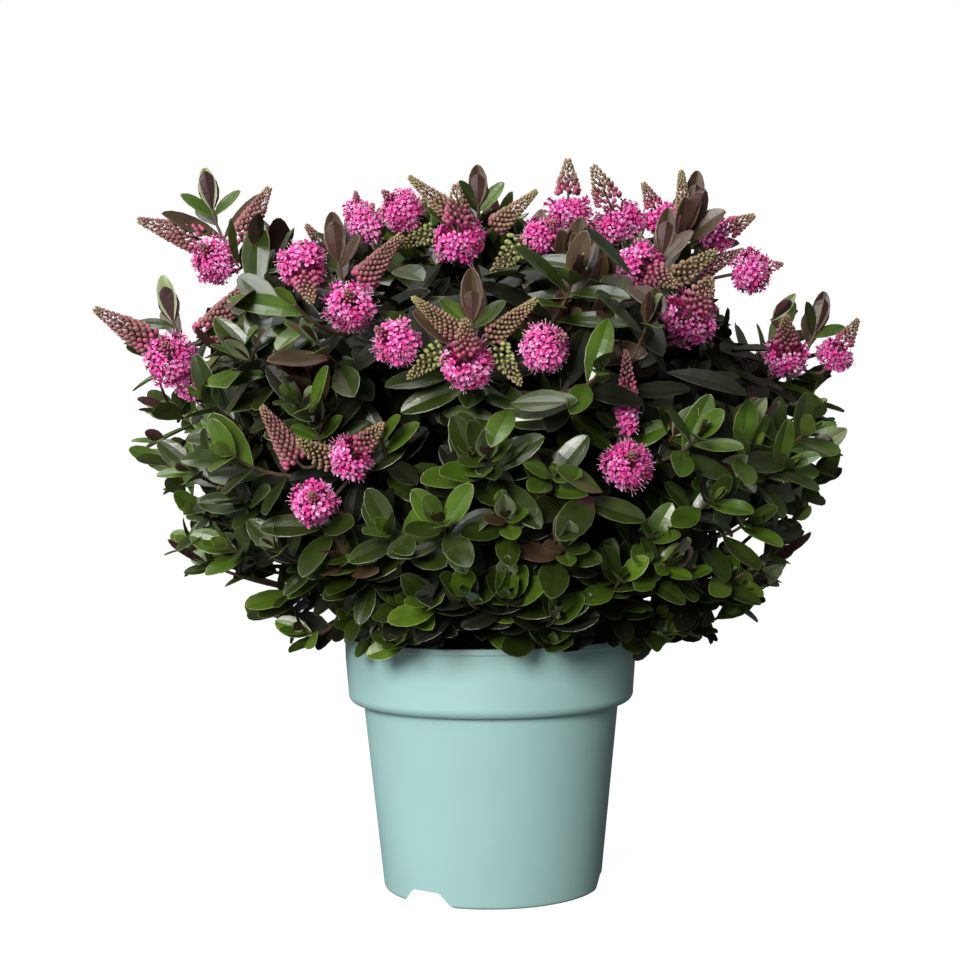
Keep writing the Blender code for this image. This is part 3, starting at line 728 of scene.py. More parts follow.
# Shapes that repeat over the plant. Leaves and buds are a metre long until they are set out
def leafMesh(name, peak, blunt, arch, fold, rim):  # peak moves its widest place, blunt shapes its ends
    stations = (0.12, 0.3, 0.5, 0.7, 0.87, 0.965)
    columns = (-1.0, -0.5, 0.0, 0.5, 1.0)

    def height(x, t):
        return arch * t * t + fold * abs(x) * 0.5 - 0.1 * fold * (2 * x) ** 2

    def halfWidth(t):
        return 0.5 * math.sin(math.pi * t ** peak) ** blunt * (1 - 0.7 * (1 - t) ** 8)

    points = []
    faces = []
    parts = []
    inner = []
    outer = []
    for t in stations:
        half = halfWidth(t)
        inset = min(rim, half * 0.4)
        row = []
        for c in columns:
            x = c * (half - inset)
            row.append(len(points))
            points.append((x, height(x, t), t))
        inner.append(row)
        sides = []
        for c in (-1, 1):
            sides.append(len(points))
            points.append((c * half, height(half, t) - 0.006, t))
        outer.append(sides)
    foot = len(points)
    points.append((0, 0, 0))
    innerTip = len(points)
    points.append((0, height(0, 1 - rim * 0.45), 1 - rim * 0.45))
    tip = len(points)
    points.append((0, height(0, 1) - 0.006, 1))
    for low, high in zip(inner, inner[1:]):
        for i in range(4):
            faces.append((low[i], low[i + 1], high[i + 1], high[i]))
            parts.append(0)
    for i in range(4):
        faces.append((foot, inner[0][i + 1], inner[0][i]))
        faces.append((inner[-1][i], inner[-1][i + 1], innerTip))
        parts += [0, 0]
    for i in range(len(stations) - 1):
        faces.append((outer[i][0], inner[i][0], inner[i + 1][0], outer[i + 1][0]))
        faces.append((inner[i][-1], outer[i][1], outer[i + 1][1], inner[i + 1][-1]))
        parts += [1, 1]
    faces.append((foot, inner[0][0], outer[0][0]))
    faces.append((foot, outer[0][1], inner[0][-1]))
    faces.append((outer[-1][0], inner[-1][0], innerTip, tip))
    faces.append((inner[-1][-1], outer[-1][1], tip, innerTip))
    parts += [1, 1, 1, 1]
    keel = []
    for t in stations:
        keel.append(len(points))
        points.append((0, height(0, t) - 0.022, t))
    for i in range(len(stations) - 1):
        faces.append((outer[i][0], outer[i + 1][0], keel[i + 1], keel[i]))
        faces.append((keel[i], keel[i + 1], outer[i + 1][1], outer[i][1]))
        parts += [2, 2]
    faces.append((foot, outer[0][0], keel[0]))
    faces.append((foot, keel[0], outer[0][1]))
    faces.append((outer[-1][0], tip, keel[-1]))
    faces.append((keel[-1], tip, outer[-1][1]))
    parts += [2, 2, 2, 2]
    mesh = meshFrom(name, points, faces, parts=parts)
    spine = {foot, innerTip, *(row[2] for row in inner)}
    border = {foot, tip, *(i for pair in outer for i in pair)}
    sharp = [False] * len(mesh.edges)
    for edge in mesh.edges:
        ends = set(edge.vertices)
        sharp[edge.index] = ends <= spine or ends <= border
    mesh.attributes.new("sharp_edge", "BOOLEAN", "EDGE").data.foreach_set("value", sharp)
    return mesh


def plainLeafMesh(name, peak, blunt, arch):  # for the shaded leaves inside the crown
    stations = (0.15, 0.4, 0.65, 0.9)
    points = [(0, 0, 0)]
    for t in stations:
        half = 0.5 * math.sin(math.pi * t ** peak) ** blunt
        rise = arch * t * t
        edge = rise + half * 0.15
        points += [(-half, edge, t), (0, rise, t), (half, edge, t), (0, rise - 0.03, t)]
    points.append((0, arch, 1))
    tip = len(points) - 1
    faces = [(0, 2, 1), (0, 3, 2), (0, 1, 4), (0, 4, 3)]
    for i in range(len(stations) - 1):
        faces += band(1 + i * 4, 4)
    a = tip - 4
    faces += [(a, a + 1, tip), (a + 1, a + 2, tip), (a + 2, a + 3, tip), (a + 3, a, tip)]
    parts = [0, 0, 2, 2] * (len(stations) + 1)
    return meshFrom(name, points, faces, parts=parts)


def floretMesh(name, seed):  # four lobes on a tube, facing +Z, in metres
    chance = random.Random(seed)
    points = []
    for radius, z in ((0.5, -5.5), (1.0, -0.4)):
        points += [(radius * x, radius * y, z) for x, y in circle(4, 0.5)]
    faces = band(0, 4)
    parts = [2] * 4
    for k in range(4):
        a = math.tau * k / 4 + chance.uniform(-0.15, 0.15)
        lift = chance.uniform(-0.5, 1.1)
        ahead = Vector((math.cos(a), math.sin(a), 0))
        aside = Vector((-math.sin(a), math.cos(a), 0))
        start = len(points)
        for reach, half, z in ((0.7, 0.75, -0.4), (2.2, 1.25, 0.5 + lift * 0.5), (3.5, 0.72, 0.35 + lift)):
            for side in (-1, 1):
                spot = ahead * reach + aside * half * side
                points.append((spot.x, spot.y, z))
        faces.append((start, start + 1, start + 3, start + 2))
        faces.append((start + 2, start + 3, start + 5, start + 4))
        parts += [0, 1]
    points = [Vector(p) * mm for p in points]
    return meshFrom(name, points, faces, parts=parts)


def stamenMesh(name, seed):  # a pair of stamens, facing +Z, in metres
    chance = random.Random(seed)
    points = []
    faces = []
    parts = []
    for side in (-1, 1):
        foot = Vector((side * 0.5, 0, -0.5))
        head = Vector((side * chance.uniform(0.9, 1.7), chance.uniform(-0.6, 0.6), chance.uniform(2.4, 3.6)))
        start = len(points)
        for spot, radius in ((foot, 0.16), (head, 0.12)):
            points += [spot + Vector((x, y, 0)) * radius for x, y in circle(3)]
        faces += band(start, 3)
        parts += [0, 0, 0]
        start = len(points)
        points.append(head + Vector((0, 0, -0.35)))
        points += [head + Vector((x * 0.34, y * 0.34, 0.1)) for x, y in circle(3)]
        points.append(head + Vector((0, 0, 0.45)))
        for k in range(3):
            n = (k + 1) % 3
            faces.append((start, start + 1 + n, start + 1 + k))
            faces.append((start + 4, start + 1 + k, start + 1 + n))
            parts += [1, 1]
    points = [p * mm for p in points]
    return meshFrom(name, points, faces, parts=parts)


def budMesh(name):  # a plump bead along +Z, a metre long, in its dark cup
    rings = ((0.0, 0.16), (0.25, 0.33), (0.62, 0.36), (0.9, 0.2))
    sides = 6
    points = []
    faces = [tuple(reversed(range(sides)))]
    parts = [1]
    for z, radius in rings:
        points += [(radius * x, radius * y, z) for x, y in circle(sides)]
    points.append((0, 0, 1))
    for i in range(len(rings) - 1):
        faces += band(i * sides, sides)
        parts += [1 if i == 0 else 0] * sides
    last = (len(rings) - 1) * sides
    for k in range(sides):
        faces.append((last + k, last + (k + 1) % sides, len(points) - 1))
        parts.append(0)
    mesh = meshFrom(name, points, faces, parts=parts)
    mesh.shade_smooth()
    return mesh


# Wood
# The crown is a rounded body about its heart, with its radius to the side and a rise and a drop
crown = {
    "seed": 20,
    "heart": Vector((0, 0, 330 * mm)),
    "radius": 242 * mm,
    "rise": 140 * mm,
    "drop": 192 * mm,
    "squareness": 2.5,
    "rightShoulderCut": 0.16,
    "outerShoots": 430,
    "innerLayers": ((210, 44 * mm), (150, 86 * mm)),
    "spacing": 28.4 * mm,
    "shootLength": 62 * mm,
    "sideRise": 0.86,
    "skirtRings": (
        (40 * mm, 190 * mm, 9), (74 * mm, 186 * mm, 13), (110 * mm, 180 * mm, 16), (138 * mm, 188 * mm, 18),
        (164 * mm, 205 * mm, 18),
    ),
    "massDepth": 66 * mm,
    "lowestShoots": (190, 172),
    "skyGaps": (  # sky between the leaves as seen from the front: across, up and radius in mm
        (-215, 245, 12), (-186, 258, 6), (-141, 209, 4), (-189, 390, 7), (-107, 177, 6), (98, 189, 5),
        (145, 194, 3), (182, 279, 3), (211, 241, 4), (150, 179, 4), (155, 171, 4), (-47, 452, 7),
        (-178, 195, 5), (-167, 194, 7), (-154, 194, 6), (-143, 198, 5), (-213, 300, 4), (-201, 301, 3),
        (163, 226, 5), (169, 220, 5), (176, 213, 4),
    ),
    "hollowDepth": 60 * mm,
    "hollowInset": 34 * mm,
    "hollows": (  # dark gaps between the shoots, given in the same way
        (155, 334, 23), (114, 279, 9), (-150, 333, 12), (-29, 168, 12), (-5, 168, 12), (22, 162, 10),
        (74, 161, 9), (88, 169, 9), (-39, 193, 9), (22, 180, 9),
    ),
}
# From growth on, a row has a value for each pair from the shoot's tip down: tilts are in degrees and
# stations, the way back from the tip, in mm
leafSizes = {
    "lengths": (30 * mm, 48 * mm),
    "widths": (15 * mm, 16.6 * mm),
    "heights": (218 * mm, 372 * mm),
    "apexLeaf": (28 * mm, 13.5 * mm),
    "mostTriangles": 185000,
    "growth": (0.42, 0.66, 0.92, 1.0, 1.04, 1.0, 0.94, 0.86),
    "tilts": (11, 27, 46, 58, 67, 74, 80, 84),
    "stations": (1.5, 5, 11.5, 21, 32, 44, 57, 70),
}
# Each mass: parent, share of it where the bough leaves, bearing, reach, height, facing, flower group
Mass = namedtuple("Mass", "parent share bearing reach height facing group")
masses = {
    "top_centre": Mass("trunk", 0, -4.1, 71, 432, 0, "topCentre"),
    "top_middle_right": Mass("top_centre", 0.5, 82.5, 61, 439, 0, "topMiddleRight"),
    "top_left": Mass("trunk", 0, -87, 177, 439, 0, "topLeft"),
    "left": Mass("top_left", 0.62, -73, 203, 364, 0, "left"),
    "side_left": Mass("top_left", 0.45, -55, 190, 297, -50, ""),
    "low_left": Mass("top_left", 0.3, -72, 186, 215, -70, ""),
    "upper_left": Mass("trunk", 0, -30.2, 168, 390, 0, "upperLeft"),
    "middle_left": Mass("upper_left", 0.5, -29.1, 195, 293, 0, "middleLeft"),
    "low_front_left": Mass("upper_left", 0.32, -28, 184, 222, -25, ""),
    "centre": Mass("trunk", 0, -2.5, 190, 353, 0, "centre"),
    "front_middle": Mass("centre", 0.5, 0, 208, 278, 0, ""),
    "low_front": Mass("centre", 0.33, 3, 180, 212, 0, ""),
    "upper_right": Mass("trunk", 0, 50, 137, 398, 0, "upperRight"),
    "middle_right": Mass("upper_right", 0.5, 25.4, 175, 296, 0, "middleRight"),
    "low_front_right": Mass("upper_right", 0.32, 33, 184, 218, 30, ""),
    "top_right": Mass("trunk", 0, 81.7, 132, 430, 0, "topRight"),
    "right": Mass("top_right", 0.6, 84, 210, 356, 0, "right"),
    "side_right": Mass("top_right", 0.45, 55, 188, 292, 50, ""),
    "low_right": Mass("top_right", 0.3, 77, 184, 214, 75, ""),
    "back_left_top": Mass("trunk", 0, -138, 142, 425, -138, "upperLeft"),
    "back_left": Mass("back_left_top", 0.5, -118, 205, 330, -118, "left"),
    "back_left_low": Mass("back_left_top", 0.3, -128, 184, 230, -128, ""),
    "back_top": Mass("trunk", 0, 178, 92, 432, 180, "topCentre"),
    "back": Mass("back_top", 0.5, 172, 205, 335, 172, "centre"),
    "back_low": Mass("back_top", 0.3, 180, 184, 226, 180, ""),
    "back_right_top": Mass("trunk", 0, 136, 148, 420, 136, "upperRight"),
    "back_right": Mass("back_right_top", 0.5, 122, 205, 322, 122, "middleLeft"),
    "back_right_low": Mass("back_right_top", 0.3, 128, 184, 226, 128, ""),
}
limbRadii = {"leader": (3.6 * mm, 1.9 * mm), "bough": (2.6 * mm, 1.6 * mm)}


def pathLength(path):
    return sum((b - a).length for a, b in zip(path[0], path[0][1:]))


def bow(start, bend, end, shares):  # it sets out for the bend and arrives from it
    return [start.lerp(bend, t).lerp(bend.lerp(end, t), t) for t in shares]


def taper(thick, thin, count):
    return [thick + (thin - thick) * i / (count - 1) for i in range(count)]


def along(path, share):  # the spot, the way and the radius there
    points, radii = path
    lengths = [(b - a).length for a, b in zip(points, points[1:])]
    left = share * sum(lengths)
    for i, length in enumerate(lengths):
        if left <= length or i == len(lengths) - 1:
            part = min(1.0, left / length)
            a, b = points[i], points[i + 1]
            radius = radii[i] + (radii[i + 1] - radii[i]) * part
            return a.lerp(b, part), (b - a).normalized(), radius
        left -= length


def limbPath(start, heading, end, kind):
    bend = start + heading * (end - start).length * 0.42
    return bow(start, bend, end, [i / 8 for i in range(9)]), taper(*limbRadii[kind], 9)


def trunkPath():
    base = Vector((0, 0, 149 * mm))
    shape = ((0, 16), (0.08, 12.5), (0.2, 10), (0.4, 8.8), (0.6, 8.6), (0.82, 9.6), (1, 7.5))
    lean = Vector((1.5 * mm, -1 * mm, 0))
    points = [base + up * 33 * mm * share + lean * max(0, share - 0.08) for share, _ in shape]
    return points, [radius * mm for _, radius in shape]


def crownReach(way):  # from the crown's heart to its surface
    side = math.hypot(way.x, way.y) / crown["radius"]
    rise = abs(way.z) / (crown["rise"] if way.z > 0 else crown["drop"])
    power = crown["squareness"]
    reach = (side ** power + rise ** power) ** (-1 / power)
    shoulder = max(0.0, way.x) * max(0.0, way.z) * 2
    return reach * (1 - crown["rightShoulderCut"] * shoulder)


def byHeight(pair, height):
    low, high = pair
    bottom, top = leafSizes["heights"]
    return low + (high - low) * max(0.0, min(1.0, (height - bottom) / (top - bottom)))


def growthDirection(tip):
    outward = Vector((tip.x, tip.y, 0)) * 1.15
    return (outward + up * max(70 * mm, (tip.z - 200 * mm) * 1.05)).normalized()


def sunward(tip):  # shoots of the front half turn towards the light
    return Vector((-0.12, -0.55, 0)) * max(0.0, min(1.0, (70 * mm - tip.y) / (120 * mm)))


def placeLimbs():  # leaders from the trunk, low and high by turns, and boughs from the leaders
    tips = {}
    feet = {}
    limbs = {"trunk": trunkPath()}
    for name, mass in masses.items():
        tip = towards(mass.bearing) * mass.reach * mm + up * mass.height * mm
        tips[name] = tip
        feet[name] = tip - growthDirection(tip) * crown["massDepth"]
    leaders = [name for name, mass in masses.items() if mass.parent == "trunk"]
    leaders.sort(key=lambda name: masses[name].bearing % 360)
    lower = True
    for name in leaders:
        if masses[name].reach < 80:  # this one rises from the trunk's top
            top = limbs["trunk"][0][-1]
            limbs[name] = limbPath(top - up * 3 * mm, up, feet[name], "leader")
            continue
        point, _, _ = along(limbs["trunk"], 0.42 if lower else 0.78)
        out = towards(masses[name].bearing)
        heading = (out * 0.8 + up * (0.45 if lower else 0.75)).normalized()
        limbs[name] = limbPath(point + out * 5 * mm, heading, feet[name], "leader")
        lower = not lower
    for name, mass in masses.items():
        if mass.parent != "trunk":
            point, direction, _ = along(limbs[mass.parent], mass.share)
            across = feet[name] - point
            across = (across - direction * across.dot(direction)).normalized()
            heading = (across * 0.9 + direction * 0.45).normalized()
            limbs[name] = limbPath(point, heading, feet[name], "bough")
    return tips, feet, limbs


def barkTube(path, sides, rings, relief, points, faces):
    start = len(points)
    previous = None
    for i in range(rings + 1):
        spot, way, radius = along(path, i / rings)
        side = Vector((1, 0, 0)) if previous is None else previous
        side = (side - way * side.dot(way)).normalized()
        previous = side
        other = way.cross(side)
        for x, y in circle(sides):
            out = side * x + other * y
            ridge = noise.noise(Vector((x * 2.2, y * 2.2, i / rings * 3 + radius * 900)))
            scale = noise.noise((spot + out * radius) * 420)
            points.append(spot + out * radius * (1 + relief * (ridge * 1.1 + scale * 0.7)))
    for i in range(rings):
        faces += band(start + i * sides, sides)
    faces.append(tuple(start + k for k in reversed(range(sides))))
    faces.append(tuple(start + rings * sides + k for k in range(sides)))


def buildWood(limbs):
    for name, paths, nodes, sides, rings, relief in (
        ("trunkWood", [limbs["trunk"]], ["trunk"], 40, 34, 0.13),
        ("boughWood", [limbs[name] for name in masses], boughNodes, 12, 40, 0.12),
    ):
        points = []
        faces = []
        for path in paths:
            barkTube(path, sides, rings, relief, points, faces)
        wood = newObject(name, meshFrom(name, points, faces, "bark"))
        wood.data.shade_smooth()
        ridePlant(wood, nodes)


# Shoots, leaves and flower spikes
# The crown's top and lower edge as seen from the front, in mm across and up
outline = {
    "top": ((-245, 366), (-225, 392), (-195, 436), (-150, 444), (-118, 418), (-90, 430), (-45, 446),
            (0, 456), (60, 448), (130, 455), (148, 440), (155, 388), (158, 362), (166, 348), (175, 348),
            (180, 364), (188, 380), (228, 392), (245, 352)),
    "low": ((-243, 345), (-236, 289), (-227, 266), (-220, 253), (-210, 211), (-195, 192), (-164, 188),
            (-160, 164), (-138, 152), (-94, 148), (102, 148), (137, 156), (171, 163), (184, 177), (192, 201),
            (202, 225), (217, 242), (227, 266), (235, 288), (243, 305)),
    "reach": 243,
    "spare": 3,
    "shootInset": 9,
}
# Each flower spike seen from its mass's facing: kind, then its middle from the shoot's tip in mm to the
# right, up and to the viewer, its lean to the right of upright and to the viewer in degrees, and its size
flowerGroups = {
    "topCentre": (
        ("paleCone", -28, 4, 4, -54, 12, 0.86), ("half", -12, -18, 14, 0, 26, 1.14),
        ("paleCone", 22, -5, 4, 55, 14, 0.88), ("ball", -46, -4, 2, -50, 40, 0.95),
        ("ball", 37, -21, 8, 50, 40, 0.82), ("green", 18, -34, 12, -140, 30, 1.15),
        ("green", -38, -21, 2, -115, 25, 0.9),
    ),
    "topMiddleRight": (
        ("half", -8, 1, 4, 0, 8, 1.08), ("half", 21, -6, 8, -28, 20, 1.22),
    ),
    "topLeft": (
        ("cone", -26, -14, 2, -72, 8, 1.05), ("cone", 27, -5, 0, 31, 8, 1.05),
        ("ball", 4, -35, 14, -40, 62, 1.08),
    ),
    "left": (
        ("cone", -29, -4, 2, -60, 8, 1.05), ("cone", 32, 4, 2, 44, 10, 1.1),
        ("ball", 2, -26, 16, 0, 68, 1.18), ("ball", 10, -41, 6, 120, 50, 0.55),
    ),
    "upperLeft": (
        ("half", -19, -6, 6, 167, 32, 1.0), ("cone", 24, 0, 2, 42, 16, 0.9),
        ("ball", 8, -27, 16, 5, 74, 1.04), ("ball", 14, 23, -24, 20, -20, 0.72),
    ),
    "middleLeft": (
        ("cone", -20, -2, 2, -31, 10, 0.95), ("half", 21, -12, 4, 46, 28, 0.9),
        ("tan", -1, -11, 10, -60, 55, 1.0), ("ball", -1, -39, 14, 0, 76, 0.9),
    ),
    "centre": (
        ("paleCone", -20, 2, 4, -55, 32, 0.8), ("paleCone", 22, -1, 4, 54, 26, 0.88),
        ("half", -3, -21, 16, -4, 46, 1.0), ("ball", -40, -13, 8, -60, 45, 0.9),
        ("ball", 39, -17, 8, 60, 45, 0.95), ("green", -25, -24, 8, -135, 30, 0.95),
        ("green", 19, -26, 8, 150, 30, 0.95),
    ),
    "upperRight": (
        ("half", -11, -9, 10, 128, 34, 1.05), ("tan", 18, -8, 6, 60, 40, 1.1),
        ("half", 16, -35, 16, 24, 58, 1.2),
    ),
    "middleRight": (
        ("slim", 2, 14, 14, 1, 8, 1.04), ("ball", 1, -23, 20, 10, 72, 0.98),
    ),
    "topRight": (
        ("paleCone", -6, 10, 6, -4, 10, 0.85), ("half", -22, 3, 0, -30, 10, 0.75),
        ("half", 19, -11, 6, 66, 20, 0.9), ("ball", 37, -35, 0, 80, 10, 1.0),
        ("cone", 17, -29, 2, 64, 6, 0.78),
    ),
    "right": (
        ("half", -21, -12, 12, -8, 42, 1.02), ("half", 15, -12, 0, 30, 25, 0.85),
    ),
}
# Kinds of spike, in mm: middle is the share of the length where the place above lies, open the share in
# flower, and tones the colours of the buds from there up, each to its share of the rest
spikeKinds = {
    "cone": {"length": 38, "middle": 0.5, "open": 0.0, "ballRadius": 0, "florets": 0, "buds": 150,
             "budRadius": 9.4, "tones": ((0.20, "rose"), (0.93, "mauve"), (2, "tan"))},
    "paleCone": {"length": 38, "middle": 0.5, "open": 0.0, "ballRadius": 0, "florets": 0, "buds": 140,
                 "budRadius": 8.2, "tones": ((0.22, "mauve"), (0.85, "tan"), (2, "olive"))},
    "half": {"length": 42, "middle": 0.42, "open": 0.60, "ballRadius": 14.5, "florets": 92, "buds": 74,
             "budRadius": 8.0, "tones": ((0.32, "rose"), (0.6, "mauve"), (2, "tan"))},
    "ball": {"length": 33, "middle": 0.42, "open": 0.85, "ballRadius": 14.5, "florets": 104, "buds": 26,
             "budRadius": 4.6, "tones": ((0.7, "rose"), (2, "mauve"))},
    "tan": {"length": 28, "middle": 0.5, "open": 0.0, "ballRadius": 0, "florets": 0, "buds": 84,
            "budRadius": 7.5, "tones": ((0.6, "tan"), (2, "olive"))},
    "slim": {"length": 46, "middle": 0.5, "open": 0.62, "ballRadius": 5.5, "florets": 44, "buds": 60,
             "budRadius": 5.6, "tones": ((0.5, "rose"), (2, "mauve"))},
    "green": {"length": 30, "middle": 0.5, "open": 0.0, "ballRadius": 0, "florets": 0, "buds": 72,
              "budRadius": 7.8, "tones": ((0.6, "green"), (2, "olive"))},
}
# Side shoots with a place of their own: their tips in mm, and what they bear
markedShoots = (
    (63, -105, 376, "bronze"), (50, -85, 392, "bronze"), (38, -150, 352, "bronze"),
    (62, -155, 347, "bronze"), (122, -50, 414, "bronze"), (-140, -120, 336, "pale"),
    (-60, -178, 290, "pale"), (-104, -160, 320, "bronze"), (-163, -70, 296, "plain"),
    (-147, -80, 258, "plain"), (-189, -30, 224, "plain"), (-146, -20, 181, "plain"),
    (-116, -60, 173, "plain"), (-106, -130, 218, "plain"), (-77, -160, 227, "plain"),
    (105, -150, 290, "pale"), (145, -120, 293, "pale"), (131, -130, 264, "pale"), (206, -20, 280, "pale"),
    (187, -30, 244, "pale"), (162, -30, 193, "pale"), (111, -70, 172, "plain"), (134, -50, 184, "plain"),
    (-8, -200, 277, "plain"), (9, -205, 246, "pale"), (41, -195, 230, "pale"), (-13, -185, 204, "plain"),
    (-55, -185, 239, "plain"), (35, -195, 269, "plain"), (37, -165, 190, "plain"), (93, -150, 232, "plain"),
    (10, -185, 203, "plain"), (-55, -115, 171, "plain"), (-35, -165, 199, "plain"),
    (36, -125, 172, "plain"), (207, 0, 306, "plain"), (-204, -20, 309, "plain"), (-208, -20, 291, "plain"),
    (98, -60, 166, "plain"), (103, -70, 182, "plain"), (128, -50, 171, "plain"), (149, -40, 179, "plain"),
    (-128, -70, 200, "plain"), (-157, -50, 205, "plain"), (-165, -60, 232, "plain"),
    (-172, -40, 262, "plain"),
)
# The room that is kept before each flower spike
clearing = {
    "margins": (2.5 * mm, 4.5 * mm),  # round open flowers, and round buds
    "slack": 1.5 * mm,
    "outward": 75 * mm,
    "ahead": 120 * mm,
    "shootDepth": 17 * mm,
    "shootReach": 52 * mm,
}
# Where leaves would meet the pot or the potting mix
potRoom = {"outside": 98 * mm, "height": 146 * mm, "slope": 0.6, "inside": 88 * mm, "lowest": 2 * mm}

leafPoints = {kind: PointSet() for kind in ("deep", "mid", "fresh", "bronze", "young", "old")}
budPoints = {kind: PointSet() for kind in ("rose", "mauve", "tan", "olive", "green")}
floretPoints = {kind: PointSet() for kind in ("vivid", "pink", "faded")}
stamenPoints = PointSet()
woodyTwigs = PathSet()
greenTwigs = PathSet()
flowerStalks = PathSet()
guards = []


def meetsPot(points):
    for p in points:
        out = math.hypot(p.x, p.y)
        frontness = (p.y / out) ** 2 if out > 0.01 else 0
        outside = out - potRoom["outside"]
        if outside > 0 and p.z < potRoom["height"] + outside * potRoom["slope"] * frontness ** 2:
            return True
        if p.z < pot["height"] + 1.5 * mm and potRoom["inside"] < out < pot["rimRadius"] + 2 * mm:
            return True
        if p.z < soil["top"] + 1 * mm and out <= potRoom["inside"]:
            return True
        if p.z < potRoom["lowest"]:
            return True
    return False


def edgeHeight(line, across):
    for (x0, z0), (x1, z1) in zip(line, line[1:]):
        if across <= x1:
            return z0 + (z1 - z0) * max(0.0, (across - x0) / (x1 - x0))
    return line[-1][1]


def asSeen(p):  # in mm across and up from the front
    scale = camera["distance"] / (camera["distance"] + p.y) / mm
    return p.x * scale, camera["height"] / mm + (p.z - camera["height"]) * scale


def outsideOutline(points, spare):
    for p in points:
        across, height = asSeen(p)
        if height > edgeHeight(outline["top"], across) + spare or abs(across) > outline["reach"]:
            return True
        if height < edgeHeight(outline["low"], across) - spare:
            return True
    return False


def inSkyGap(points, share=1.0):
    eye = Vector((0, -camera["distance"], camera["height"]))
    for x, z, radius in crown["skyGaps"]:
        radius *= share
        way = (Vector((x * mm, 0, z * mm)) - eye).normalized()
        for p in points:
            off = p - eye
            if (off - way * off.dot(way)).length < radius * mm * off.y / camera["distance"]:
                return True
    return False


def inHollow(p):  # where the photo looks into the dark between the shoots
    across, height = asSeen(p)
    return any(math.hypot(across - x, height - z) < radius for x, z, radius in crown["hollows"])


def outsideBox(points):
    spare = 7 * mm
    low, high = cadBox
    for p in points:
        if any(p[i] < low[i] - spare or p[i] > high[i] + spare for i in range(3)):
            return True
    return False


# Nearness is how much of the flowers' room a leaf keeps clear of, from 1 for all of it to 0 for none
def placeLeaf(kind, shape, origin, way, upperSide, length, width, nearness):
    for _ in range(5):  # it is raised until it clears the pot
        place = frameAt(origin, way, upperSide)
        samples = [place @ Vector((0, 0, t * length)) for t in (0.15, 0.35, 0.55, 0.75, 0.9, 1.0)]
        samples += [place @ Vector((side * width * 0.45, 0, length * 0.6)) for side in (-1, 1)]
        if not meetsPot(samples):
            break
        way = (way + up * 0.28).normalized()
    else:
        return False
    if outsideBox(samples) or (nearness == 1 and outsideOutline(samples, outline["spare"])):
        return False
    if inSkyGap(samples) or (nearness and hitsFlowers(samples, nearness)):
        return False
    # a leaf in one of the dark hollows takes the near-black finish, a painted shade
    shaded = samples[3].y < crown["hollowDepth"] and inHollow(samples[3])
    leafPoints["old" if shaded else kind].add(place, (width, length, length), shape)
    return True


def leafKind(pair, tip, chance, style, plumTip):  # pairs are counted from the shoot's tip down
    roll = chance.random()
    # inner shoots and the lower pairs mostly take the near-black finish: older leaves darkened further as
    # painted shade inside the crown
    if style == "inner":
        return "old" if roll < 0.75 else "deep"
    if style == "bronze":
        return "bronze" if pair < 4 else "deep"
    # the apex pair takes the pale young finish, whose face is lightened past the leaf's own colour as a
    # painted sheen
    if pair == 0 and style == "flower":
        return "young" if plumTip else "bronze"
    if pair == 0:
        return "young" if plumTip else "fresh"
    if style in ("flower", "pale") and pair in (1, 2, 3):
        brown = 0.6 if pair > 1 and tip.z > 0.31 else 0.12
        return "bronze" if roll < brown else ("mid" if roll < 0.6 else "deep")
    if pair == 1 and plumTip:
        return "bronze" if tip.z > 0.3 and roll < 0.6 else "mid"
    if tip.z < 0.225 and pair < 4:
        return "fresh" if roll < 0.26 else ("mid" if roll < 0.6 else "deep")
    if tip.z > 0.34 and pair < 4 and roll < 0.27:
        return "bronze"
    if pair > 3:
        return "old" if roll < (0.2 if pair == 4 else 0.6) else "deep"
    return "mid" if roll < 0.64 else "deep"


